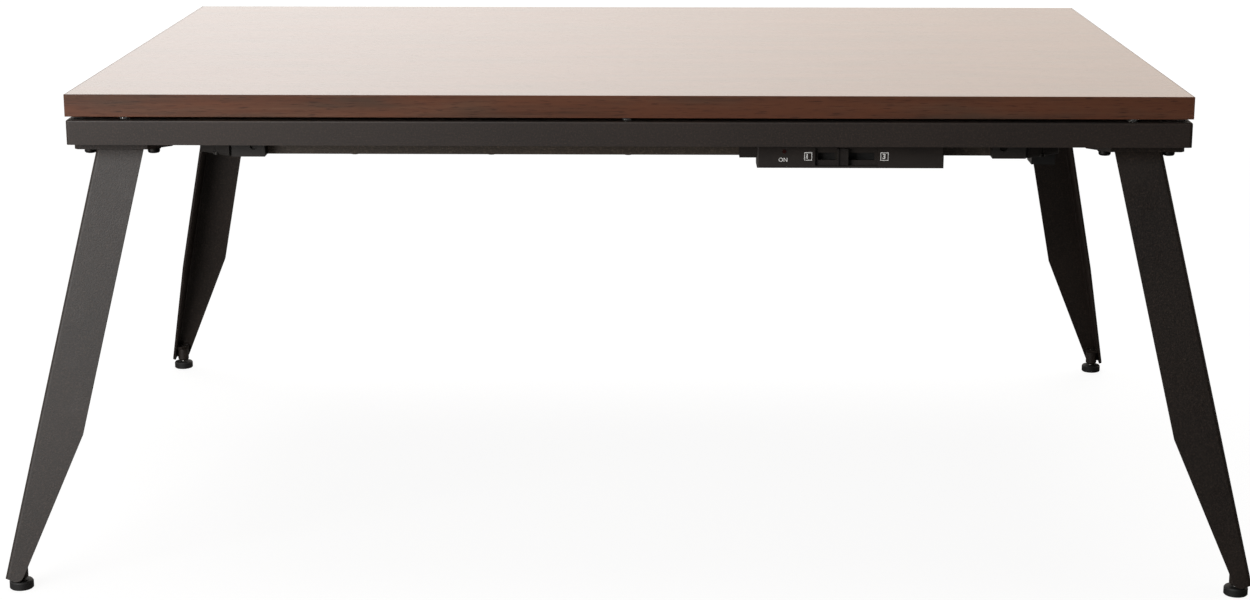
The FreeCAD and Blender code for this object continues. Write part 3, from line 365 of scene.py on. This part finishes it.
def moulded(name, deep, pale, roughness=0.5, level=0.4):
    """Moulded plastic or rubber: spark-eroded grain, faint flow clouds and finger marks."""
    shell = Finish(name)
    grain = shell.noise(1900.0, 2.0, 0.6)
    flow = shell.noise(28.0, 3.0, 0.5, shell.stretched((1.0, 2.0, 3.0)))
    marks = shell.eased(shell.noise(70.0, 4.0, 0.65), 0.55, 0.75)
    colour = shell.ramp(grain * 0.4 + flow * 0.6, [(0.3, deep), (0.75, pale)])
    rough = roughness + grain * 0.12 + marks * -0.08
    shell.skin_values(Base_Color=colour, Roughness=rough, Specular_IOR_Level=level)
    shell.skin_values(Normal=shell.bump(grain, 0.04 * MM, 0.7))
    return shell.material


def metal(name, dull, bright, roughness, lines=(900.0, 900.0, 60.0)):
    """Bare or plated metal: fine tool lines, cloudy plating and darker tarnish in patches."""
    plate = Finish(name)
    line = plate.noise(1.0, 3.0, 0.6, plate.stretched(lines))
    cloud = plate.noise(120.0, 3.0, 0.5)
    patch = plate.eased(plate.noise(45.0, 4.0, 0.6), 0.55, 0.8)
    colour = plate.ramp(cloud * 0.6 + line * 0.4, [(0.3, dull), (0.75, bright)])
    colour = plate.mixed(colour, scaled(dull, 0.55), patch * 0.25)
    rough = roughness + line * 0.12 + patch * 0.15
    plate.skin_values(Base_Color=colour, Metallic=1.0, Roughness=rough)
    plate.skin_values(Normal=plate.bump(line, 0.02 * MM, 0.6))
    return plate.material


def heat_metal(name, dull, bright, tint):
    """Resistance wire, dark with oxide, its bands tinted where it has been hot."""
    wire = Finish(name)
    band = wire.noise(1.0, 2.0, 0.5, wire.stretched((30.0, 4.0, 4.0)))
    oxide = wire.noise(900.0, 3.0, 0.6)
    colour = wire.ramp(band, [(0.3, dull), (0.55, bright), (0.7, tint)])
    wire.skin_values(Base_Color=colour, Metallic=0.9, Roughness=0.45 + oxide * 0.25)
    wire.skin_values(Normal=wire.bump(oxide, 0.03 * MM, 0.6))
    return wire.material


def fired(name, shade, specks, roughness):
    """Fired ceramic or pressed fibre: pale body, dark specks and a granular face."""
    body = Finish(name)
    grain = body.noise(700.0, 3.0, 0.6)
    speck = body.eased(body.cells(420.0), 0.09, 0.03)
    stain = body.eased(body.noise(38.0, 3.0, 0.5), 0.5, 0.8)
    scorched = tuple(part * by for part, by in zip(shade, (0.8, 0.68, 0.5)))
    colour = body.mixed(shade, scaled(shade, 0.82), grain)
    colour = body.mixed(colour, specks, speck * 0.5)
    colour = body.mixed(colour, scorched, stain * 0.35)
    body.skin_values(Base_Color=colour, Roughness=roughness + grain * 0.1, Specular_IOR_Level=0.35)
    body.skin_values(Normal=body.bump(grain, 0.06 * MM, 0.7))
    return body.material


def clear(name, tint, haze, roughness, ior):
    """Glass, lens or clear rubber: see-through, with seeds and a hazed skin."""
    pane = Finish(name)
    hazed = pane.noise(160.0, 3.0, 0.6)
    seeds = pane.eased(pane.cells(300.0), 0.08, 0.02)
    colour = pane.mixed(tint, haze, hazed * 0.35)
    pane.skin_values(Base_Color=colour, Roughness=roughness + hazed * 0.08 + seeds * 0.1)
    relief = pane.bump(hazed + seeds, 0.02 * MM, 0.5)
    pane.skin_values(Transmission_Weight=0.92, IOR=ior, Normal=relief)
    return pane.material


def resin_board(name):
    """Circuit board of brown resin paper with a faint weave and scattered tinned pads."""
    board = Finish(name)
    x, _, z = board.axes()
    weave = ((x * 5200.0).sine() + (z * 5200.0).sine()) * 0.25 + 0.5
    pads = board.eased(board.cells(230.0), 0.16, 0.1)
    colour = board.mixed((0.14, 0.075, 0.03), (0.2, 0.115, 0.05), weave)
    colour = board.mixed(colour, (0.62, 0.6, 0.56), pads * 0.8)
    board.skin_values(Base_Color=colour, Roughness=0.45 + weave * 0.1, Metallic=pads * 0.8)
    board.skin_values(Normal=board.bump(weave * 0.4 + pads, 0.03 * MM, 0.6))
    return board.material


def sleeved_lead(name):
    """Glass-braided sleeve of a lead: crossing threads in pale cream, sooty in places."""
    sleeve = Finish(name)
    x, y, z = sleeve.axes()
    braid = ((x + y + z) * 4200.0).sine() * ((x - y + z) * 4200.0).sine() * 0.5 + 0.5
    soot = sleeve.eased(sleeve.noise(60.0), 0.5, 0.75)
    colour = sleeve.mixed((0.62, 0.58, 0.48), (0.42, 0.38, 0.3), braid)
    colour = sleeve.mixed(colour, (0.2, 0.17, 0.13), soot * 0.3)
    sleeve.skin_values(Base_Color=colour, Roughness=0.75 + braid * 0.1, Specular_IOR_Level=0.2)
    sleeve.skin_values(Normal=sleeve.bump(braid, 0.1 * MM, 0.7))
    return sleeve.material


def white_print(name):
    """Pad-printed marks: chalky white ink, thin in places."""
    ink = Finish(name)
    thin = ink.noise(2600.0, 2.0, 0.6)
    colour = ink.mixed((0.86, 0.86, 0.84), (0.6, 0.59, 0.57), ink.eased(thin, 0.5, 0.75))
    ink.skin_values(Base_Color=colour, Roughness=0.55 + thin * 0.1, Specular_IOR_Level=0.3)
    return ink.material


finishes = {
    "walnut_veneer": walnut("walnut_veneer", "x", coat=1.0, shine=0.5, patches=0.45, seams=True),
    "walnut_edge": walnut("walnut_edge", "x", coat=0.0, shine=0.2, patches=0.75, seams=False),
    "walnut_edge_short": walnut("walnut_edge_short", "y", coat=0.0, shine=0.2, patches=0.75, seams=False),
    "core_board": plain_wood("core_board", (0.23, 0.15, 0.085), (0.45, 0.34, 0.21), "chips"),
    "backing_sheet": plain_wood("backing_sheet", (0.014, 0.0105, 0.0085), (0.026, 0.02, 0.016), "x"),
    "black_frame": lacquered_frame("black_frame", (0.0096, 0.006, 0.0044), (0.0282, 0.0163, 0.011)),
    "block_wood": plain_wood("block_wood", (0.2, 0.12, 0.06), (0.42, 0.29, 0.165), "y", glue=0.1),
    "dowel_wood": plain_wood("dowel_wood", (0.3, 0.19, 0.1), (0.5, 0.36, 0.22), "x", glue=0.2),
    "clear_bumper": clear(
        "clear_bumper", tint=(0.93, 0.94, 0.92), haze=(0.82, 0.83, 0.8), roughness=0.08, ior=1.43),
    "leg_paint": powder_coat("leg_paint", (0.0082, 0.0059, 0.0046), (0.024, 0.0158, 0.0115), level=0.35),
    "zinc_steel": metal("zinc_steel", (0.42, 0.41, 0.38), (0.66, 0.65, 0.62), roughness=0.26),
    "black_steel": metal("black_steel", (0.02, 0.019, 0.018), (0.05, 0.048, 0.045), roughness=0.42),
    "insert_brass": metal("insert_brass", (0.48, 0.34, 0.14), (0.7, 0.52, 0.24), roughness=0.3),
    "pad_rubber": moulded(
        "pad_rubber", (0.006, 0.006, 0.0058), (0.016, 0.0155, 0.015), roughness=0.55, level=0.35),
    "case_paint": powder_coat("case_paint", (0.0245, 0.0174, 0.012), (0.0585, 0.043, 0.03), grit=900.0),
    "bracket_plastic": moulded(
        "bracket_plastic", (0.011, 0.009, 0.0076), (0.023, 0.019, 0.0162), roughness=0.52),
    "bright_aluminium": metal(
        "bright_aluminium", (0.74, 0.74, 0.73), (0.88, 0.88, 0.87),
        roughness=0.12, lines=(40.0, 900.0, 900.0)),
    "galvanised_sheet": metal(
        "galvanised_sheet", (0.4, 0.41, 0.42), (0.6, 0.61, 0.62),
        roughness=0.36, lines=(130.0, 130.0, 130.0)),
    "insulation": fired("insulation", (0.72, 0.69, 0.61), specks=(0.3, 0.27, 0.2), roughness=0.85),
    "quartz": clear("quartz", tint=(0.96, 0.95, 0.92), haze=(0.86, 0.84, 0.8), roughness=0.05, ior=1.46),
    "core_wire": heat_metal(
        "core_wire", (0.05, 0.043, 0.04), (0.13, 0.105, 0.085), tint=(0.13, 0.11, 0.14)),
    "white_ceramic": fired("white_ceramic", (0.76, 0.74, 0.68), specks=(0.35, 0.31, 0.24), roughness=0.62),
    "guard_paint": powder_coat(
        "guard_paint", (0.011, 0.0098, 0.0088), (0.027, 0.024, 0.022), grit=1400.0, depth=0.09 * MM),
    "black_plastic": moulded(
        "black_plastic", (0.006, 0.0058, 0.0055), (0.015, 0.0145, 0.014), roughness=0.48),
    "control_plastic": moulded("control_plastic", (0.0098, 0.0064, 0.0046), (0.021, 0.014, 0.0102)),
    "knob_plastic": moulded(
        "knob_plastic", (0.0105, 0.0082, 0.007), (0.023, 0.0178, 0.0152), roughness=0.34, level=0.5),
    "contact_brass": metal("contact_brass", (0.5, 0.36, 0.15), (0.72, 0.55, 0.26), roughness=0.28),
    "board_resin": resin_board("board_resin"),
    "lamp_lens": clear(
        "lamp_lens", tint=(0.32, 0.03, 0.02), haze=(0.16, 0.012, 0.008), roughness=0.08, ior=1.49),
    "lead_rubber": sleeved_lead("lead_rubber"),
    "print": white_print("print"),
}


def dress(piece, material):
    """Gives a piece one material in place of those it has."""
    piece.data.materials.clear()
    piece.data.materials.append(material)


slot_of = {row["node"]: row["material_slot"] for row in frame["record"]["subparts"]}
for node_name, solid in frame["nodes"].items():
    dress(solid, finishes[slot_of[node_name]])
dress(frame["nodes"]["edge_bands_short"], finishes["walnut_edge_short"])


# New surfaces


def placed(name, mesh, material):
    """Puts a mesh into the scene as an object of one material."""
    mesh.update()
    piece = bpy.data.objects.new(name, mesh)
    bpy.context.scene.collection.objects.link(piece)
    dress(piece, material)
    return piece


def grid_piece(name, grids, finish, body):
    """One mesh of several grids of points, each closed round its second way and capped at both ends.

    A grid is an array of rings by points by three. Faces run ring to ring, and a cap is one flat
    face over the first and the last ring.
    """
    corners, faces, start = [], [], 0
    for grid in grids:
        rings, around, _ = grid.shape
        index = start + np.arange(rings * around).reshape(rings, around)
        after = np.roll(index, -1, axis=1)
        quads = np.stack([index[:-1], after[:-1], after[1:], index[1:]], axis=-1).reshape(-1, 4)
        corners.append(grid.reshape(-1, 3))
        faces += quads.tolist() + [index[0][::-1].tolist(), index[-1].tolist()]
        start += rings * around
    mesh = bpy.data.meshes.new(name)
    mesh.from_pydata(np.concatenate(corners).tolist(), [], faces)
    mesh.shade_smooth()
    piece = placed(name, mesh, finishes[finish])
    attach(piece, body)
    return piece


def unit(vectors):
    """Each vector brought to the length of one."""
    return vectors / np.linalg.norm(vectors, axis=-1, keepdims=True)


def circle(sides):
    """Angles of evenly spread points round a circle."""
    return np.linspace(0, 2 * np.pi, sides, endpoint=False)


def bead(path, radius, sides, guide):
    """Round bar along a path: at each point a circle in the plane across the path.

    The circle's first axis is the path's direction crossed with the guide, and its second axis is
    that crossed with the direction. The radius may change along the path.
    """
    ahead = unit(np.gradient(path, axis=0))
    side = unit(np.cross(ahead, np.asarray(guide, float)))
    over = np.cross(side, ahead)
    angle = circle(sides)[None, :, None]
    radius = np.broadcast_to(radius, (len(path),))[:, None, None]
    ring = np.cos(angle) * side[:, None] + np.sin(angle) * over[:, None]
    return (path[:, None] + ring * radius)[:, ::-1]


def lathe(radii, heights, sides, x, y):
    """Surface of revolution about the upright axis at x, y: each ring has one radius and height."""
    angle = circle(sides)
    radii = np.asarray(radii, float)[:, None]
    heights = np.asarray(heights, float)[:, None]
    return np.stack([x + radii * np.cos(angle), y + radii * np.sin(angle), heights + 0 * angle], axis=-1)


def at_corner(grid, sx, sy):
    """Mirrors a grid from the front left to another corner and keeps its faces outward."""
    moved = grid * np.array([-sx, -sy, 1.0])
    return moved if sx * sy > 0 else moved[:, ::-1]


def threaded_stud(x, y):
    """Stud with a 60 degree thread above a plain shank and a tapered upper end.

    The thread's radius falls by a triangle wave of the height less the turn round the axis.
    """
    heights = np.arange(STUD_BOTTOM, STUD_TOP, THREAD_STEP)
    angle = circle(ROUND_SIDES)
    turn = heights[:, None] / THREAD_PITCH - angle[None] / (2 * np.pi)
    wave = np.abs(2 * (turn - np.floor(turn)) - 1)
    thread = STUD_RADIUS - THREAD_DEPTH * (1 - wave)
    from_end = np.clip((STUD_TOP - heights) / STUD_END_TAPER, 0, 1)[:, None]
    taper = STUD_END_RADIUS + (SHANK_RADIUS - STUD_END_RADIUS) * from_end
    shank = heights[:, None] < THREAD_BOTTOM
    radius = np.minimum(np.where(shank, SHANK_RADIUS, thread), taper)
    level = np.broadcast_to(heights[:, None], radius.shape)
    return np.stack([x + radius * np.cos(angle), y + radius * np.sin(angle), level], axis=-1)


for corner, (sx, sy) in CORNERS.items():
    thread_grid = threaded_stud(sx * FOOT_X, sy * FOOT_Y)
    stud = grid_piece("thread_" + corner, [thread_grid], "zinc_steel", "foot_" + corner)
    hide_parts("foot_stud_" + corner)


def weld(start, end, radius, ripple):
    """Weld bead along a straight seam: the radius swells with each ripple and tapers at both ends."""
    start, end = np.asarray(start, float), np.asarray(end, float)
    length = np.linalg.norm(end - start)
    steps = np.linspace(0, 1, max(int(length / WELD_STEP), 12))[:, None]
    path = start + (end - start) * steps
    along = steps[:, 0] * length / ripple
    wave = 2 * np.pi * along
    swell = 1 + 0.13 * np.sin(wave) + 0.07 * np.sin(wave * 0.37 + 1.3)
    from_end = np.minimum(steps[:, 0], 1 - steps[:, 0])
    taper = np.clip(from_end * 14, 0.25, 1) ** 0.5
    return bead(path, radius * swell * taper, sides=8, guide=(0, 0, 1))


def flange_welds(level, rise, tuck, start, end, radius, ripple):
    """One bead along the inner face of each flange of every leg, near one level.

    The rise lifts the beads from the level and the tuck holds them off the face. They run from
    start to end, measured from the angle of the leg.
    """
    x = -FOLD_X + LEG_LEAN * level + SHEET
    y = -FOLD_Y + LEG_LEAN * level + SHEET
    z = level + rise
    beads = [weld((x + start, y + tuck, z), (x + end, y + tuck, z), radius, ripple)]
    beads.append(weld((x + tuck, y + start, z), (x + tuck, y + end, z), radius, ripple))
    return [at_corner(one, sx, sy) for sx, sy in CORNERS.values() for one in beads]


plate_beads = flange_welds(
    PLATE_BOTTOM, rise=-0.6 * MM, tuck=0.4 * MM, start=1 * MM, end=FLANGE - SHEET - 3 * MM,
    radius=1.5 * MM, ripple=1.9 * MM)
gusset_beads = flange_welds(
    GUSSET_TOP, rise=0.2 * MM, tuck=0.3 * MM, start=2 * MM, end=11 * MM,
    radius=1 * MM, ripple=1.4 * MM)
grid_piece("plate_welds", plate_beads, "leg_paint", "frame")
grid_piece("gusset_welds", gusset_beads, "leg_paint", "frame")


def coil(y):
    """Wound heating coil: a bar along a helix about the tube's axis, with straight tails."""
    turns = 2 * COIL_HALF / COIL_PITCH
    share = np.linspace(0, 1, int(turns * 10))
    angle = 2 * np.pi * turns * share
    across = y + COIL_RADIUS * np.cos(angle)
    level = TUBE_LEVEL + COIL_RADIUS * np.sin(angle)
    helix = np.stack([-COIL_HALF + 2 * COIL_HALF * share, across, level], axis=-1)
    grids = [bead(helix, WIRE_RADIUS, sides=5, guide=(1, 0, 0))]
    for side in (-1, 1):
        tail = np.array([[side * place, y, TUBE_LEVEL] for place in TAIL_PLACES])
        grids.append(bead(tail, TAIL_RADIUS, sides=10, guide=(0, 0, 1)))
    return grids


both_coils = coil(-TUBE_FROM_MIDDLE) + coil(TUBE_FROM_MIDDLE)
coils = grid_piece("heating_coils", both_coils, "core_wire", "frame")
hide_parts("heating_cores")


def bumpers():
    """Clear bumpers: the radius follows a rounded barrel, widest at the foot."""
    share = np.linspace(0, 1, BUMPER_RINGS)
    radii = BUMPER_RADIUS * (1 - BUMPER_NARROWING * share ** 2.6)
    side_y = FRAME_Y - BUMPER_FROM_EDGE
    end_x = FRAME_X - BUMPER_FROM_EDGE
    places = [(sx * (FRAME_X - BUMPER_FROM_END), sy * side_y) for sx, sy in CORNERS.values()]
    places += [(0, side_y), (0, -side_y), (end_x, 0), (-end_x, 0)]
    heights = FRAME_TOP + BUMPER_HEIGHT * share
    return [lathe(radii, heights, ROUND_SIDES, x, y) for x, y in places]


pads = grid_piece("bumper_domes", bumpers(), "clear_bumper", "frame")
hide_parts("top_bumpers")


# Marks on the control box


def printed(name, words, left, bottom, height, weight):
    """Flat letters on the front face, placed by their lower left corner; weight thickens them."""
    curve = bpy.data.curves.new(name, "FONT")
    curve.body = words
    curve.size = height / CAPITAL_SHARE
    curve.resolution_u = 4
    curve.offset = weight
    writer = bpy.data.objects.new(name + "_curve", curve)
    bpy.context.scene.collection.objects.link(writer)
    bpy.context.view_layer.update()
    drawn = writer.evaluated_get(bpy.context.evaluated_depsgraph_get())
    mesh = bpy.data.meshes.new_from_object(drawn)
    bpy.data.objects.remove(writer)
    flat = np.empty(len(mesh.vertices) * 3)
    mesh.vertices.foreach_get("co", flat)
    flat = flat.reshape(-1, 3)
    flat -= flat.min(axis=0)
    upright = np.stack([left + flat[:, 0], np.full(len(flat), PRINT_FACE), bottom + flat[:, 1]], axis=-1)
    mesh.vertices.foreach_set("co", upright.ravel())
    piece = placed(name, mesh, finishes["print"])
    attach(piece, "frame")


def border(name, left, right, bottom, top, width):
    """Thin square ring round a mark: an outer and an inner rectangle joined by faces."""
    outer = np.array([[left, bottom], [right, bottom], [right, top], [left, top]])
    inner = outer + np.array([[1, 1], [-1, 1], [-1, -1], [1, -1]]) * width
    ring = np.concatenate([outer, inner])
    corners = np.stack([ring[:, 0], np.full(8, PRINT_FACE), ring[:, 1]], axis=-1)
    faces = [[i, (i + 1) % 4, (i + 1) % 4 + 4, i + 4] for i in range(4)]
    mesh = bpy.data.meshes.new(name)
    mesh.from_pydata(corners.tolist(), [], faces)
    piece = placed(name, mesh, finishes["print"])
    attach(piece, "frame")


printed("mark_on", "ON", left=121.7 * MM, bottom=344.4 * MM, height=3.3 * MM, weight=0)
printed("mark_low", "1", left=144.1 * MM, bottom=346.8 * MM, height=4.2 * MM, weight=0.15 * MM)
printed("mark_high", "3", left=205.1 * MM, bottom=346.8 * MM, height=4.2 * MM, weight=0.15 * MM)
border("frame_low", left=142.3 * MM, right=148.5 * MM, bottom=345.5 * MM, top=352.2 * MM, width=0.5 * MM)
border("frame_high", left=203.5 * MM, right=209.9 * MM, bottom=345.5 * MM, top=352.2 * MM, width=0.5 * MM)


# Studio


def ray_kinds(paper):
    """Three values that are one for a ray from the camera, off gloss or through glass, else zero."""
    path = paper.tree.nodes.new("ShaderNodeLightPath")
    names = ("Is Camera Ray", "Is Glossy Ray", "Is Transmission Ray")
    return [Strand(paper, path.outputs[name]) for name in names]


def seen_in_gloss(paper, front_left):
    """Strength and tint of what gloss sees of the studio.

    It is bright behind the table, more so on the left and high up. In front it falls from the
    given strength on the left to almost nothing on the right. The tint warms toward the right.
    """
    x, y, z = paper.axes()
    depth = paper.eased(y, 0.2, 3.5)
    left = paper.eased(x, -3.2, 3.2, 1.0, 0.0)
    near_left = paper.eased(x, -1.5, 1.1, 1.0, 0.0)
    behind = GLOSS_BEHIND + left * GLOSS_LEFT_GAIN + paper.eased(z, 2.2, 4.4, 0.0, GLOSS_TOP_GAIN)
    before = GLOSS_BEFORE + near_left * front_left
    tint = paper.mixed((1.0, 0.9, 0.81), (1.0, 0.955, 0.915), left)
    return before + depth * (behind - before), tint


def backdrop_paper():
    """White to the camera and through glass, graded in gloss and dim as a light."""
    paper = Finish("backdrop_paper", "ShaderNodeEmission")
    camera_ray, glossy_ray, through_ray = ray_kinds(paper)
    gloss, gloss_tint = seen_in_gloss(paper, DOME_GLOSS_LEFT)
    plain = DOME_FILL * (1.0 - glossy_ray) + gloss * glossy_ray
    strength = camera_ray + (1.0 - camera_ray) * (through_ray + (1.0 - through_ray) * plain)
    paper.skin_values(Strength=strength, Color=paper.mixed(gloss_tint, WHITE, camera_ray))
    paper.material.cycles.emission_sampling = "NONE"
    return paper.material


def floor_paper():
    """Lit paper that mostly glows for the camera and is graded in gloss; clear from below."""
    paper = Finish("floor_paper", "ShaderNodeMixShader")
    camera_ray, glossy_ray, _ = ray_kinds(paper)
    tone = paper.mixed((0.5, 0.495, 0.49), (0.9, 0.89, 0.88), camera_ray)
    matt = paper.node("ShaderNodeBsdfDiffuse", {}, {"Color": tone})
    gloss, gloss_tint = seen_in_gloss(paper, FLOOR_GLOSS_LEFT)
    strength = camera_ray * FLOOR_GLOW + (1.0 - camera_ray) * gloss
    tint = paper.mixed(gloss_tint, WHITE, camera_ray)
    glow = paper.node("ShaderNodeEmission", {}, {"Strength": strength, "Color": tint})
    x, y, _ = paper.axes()
    far = paper.eased(x * x + y * y, 1.2, 9.0)
    camera_share = FLOOR_GLOW_SHARE + far * (1 - FLOOR_GLOW_SHARE)
    share = camera_ray * camera_share + glossy_ray * FLOOR_GLOSS_SHARE
    lit = paper.node("ShaderNodeMixShader", {}, {0: share, 1: matt, 2: glow})
    see_through = paper.node("ShaderNodeBsdfTransparent", {}, {})
    geometry = paper.tree.nodes.new("ShaderNodeNewGeometry")
    paper.feed(paper.skin.inputs[0], Strand(paper, geometry.outputs["Backfacing"]))
    paper.feed(paper.skin.inputs[1], lit)
    paper.feed(paper.skin.inputs[2], see_through)
    paper.material.cycles.emission_sampling = "NONE"
    return paper.material


def stage_piece(name, radii, heights, material):
    """One mesh of rings about the middle of the stage, its first ring closed by a cap."""
    rings = lathe(radii, heights, STAGE_SIDES, 0, 0)
    count, around, _ = rings.shape
    index = np.arange(count * around).reshape(count, around)
    after = np.roll(index, -1, axis=1)
    quads = np.stack([index[:-1], index[1:], after[1:], after[:-1]], axis=-1).reshape(-1, 4)
    mesh = bpy.data.meshes.new(name)
    mesh.from_pydata(rings.reshape(-1, 3).tolist(), [], quads.tolist() + [index[0].tolist()])
    piece = placed(name, mesh, material)


# The floor's rings grow at height zero, and the dome's rings follow an arc from its top down
stage_piece("studio_floor", FLOOR_RINGS, np.zeros(len(FLOOR_RINGS)), floor_paper())
arc = np.linspace(np.pi / 2 * 0.995, 0, DOME_RINGS)
dome_heights = DOME_RADIUS * np.sin(arc) - DOME_SINK
stage_piece("studio_backdrop", DOME_RADIUS * np.cos(arc), dome_heights, backdrop_paper())


def softbox(name, place, aim, wide, high, power, tint):
    """Soft rectangular lamp at a place, turned to a point: sizes in metres, power in watts."""
    light = bpy.data.lights.new(name, "AREA")
    light.shape = "RECTANGLE"
    light.size = wide
    light.size_y = high
    light.energy = power
    light.color = tint
    lamp = bpy.data.objects.new(name, light)
    lamp.location = place
    heading = np.asarray(aim, float) - np.asarray(place, float)
    flat = math.hypot(heading[0], heading[1])
    lamp.rotation_euler = (math.atan2(flat, -heading[2]), 0, math.atan2(-heading[0], heading[1]))
    lamp.visible_camera = False
    bpy.context.scene.collection.objects.link(lamp)
    return lamp


softbox(
    "window_light", place=(-1.35, -1.6, 0.66), aim=(-0.35, 0, 0.33),
    wide=1.2, high=0.7, power=26.5, tint=(1.0, 0.99, 0.985))
overhead = softbox(
    "overhead_light", place=(-0.2, 0.7, 2.9), aim=(0, 0, 0),
    wide=2.8, high=2.0, power=60, tint=(1.0, 0.99, 0.98))
overhead.visible_glossy = False
card = softbox(
    "sheen_card", place=(-1.2, -2.0, 1.7), aim=(-0.4, -0.3, 0.35),
    wide=1.1, high=0.8, power=44, tint=(1.0, 0.985, 0.975))
card.visible_diffuse = False
softbox(
    "side_fill", place=(2.6, -1.4, 1.3), aim=(0.2, 0, 0.2),
    wide=1.4, high=1.2, power=0.8, tint=(1.0, 0.92, 0.84))

# White world to the camera and a dim fill to everything else
world = bpy.data.worlds.new("studio")
bpy.context.scene.world = world
world.use_nodes = True
sky = world.node_tree.nodes["Background"]
sky.inputs["Color"].default_value = (*WHITE, 1)
ray_kind = world.node_tree.nodes.new("ShaderNodeLightPath")
brightness = world.node_tree.nodes.new("ShaderNodeMapRange")
brightness.inputs["To Min"].default_value = WORLD_FILL
world.node_tree.links.new(ray_kind.outputs["Is Camera Ray"], brightness.inputs["Value"])
world.node_tree.links.new(brightness.outputs["Result"], sky.inputs["Strength"])
bpy.context.scene.view_settings.view_transform = "Standard"

camera_data = bpy.data.cameras.new("camera")
camera_data.lens = SENSOR_WIDTH * FOCAL_LENGTH_IN_PIXELS / PHOTO_WIDTH
camera_data.sensor_width = SENSOR_WIDTH
camera_data.clip_end = 60
camera = bpy.data.objects.new("camera", camera_data)
camera.location = CAMERA_PLACE
camera.rotation_euler = (math.radians(90 - CAMERA_TIP), 0, math.radians(CAMERA_TURN))
bpy.context.scene.collection.objects.link(camera)
bpy.context.scene.camera = camera
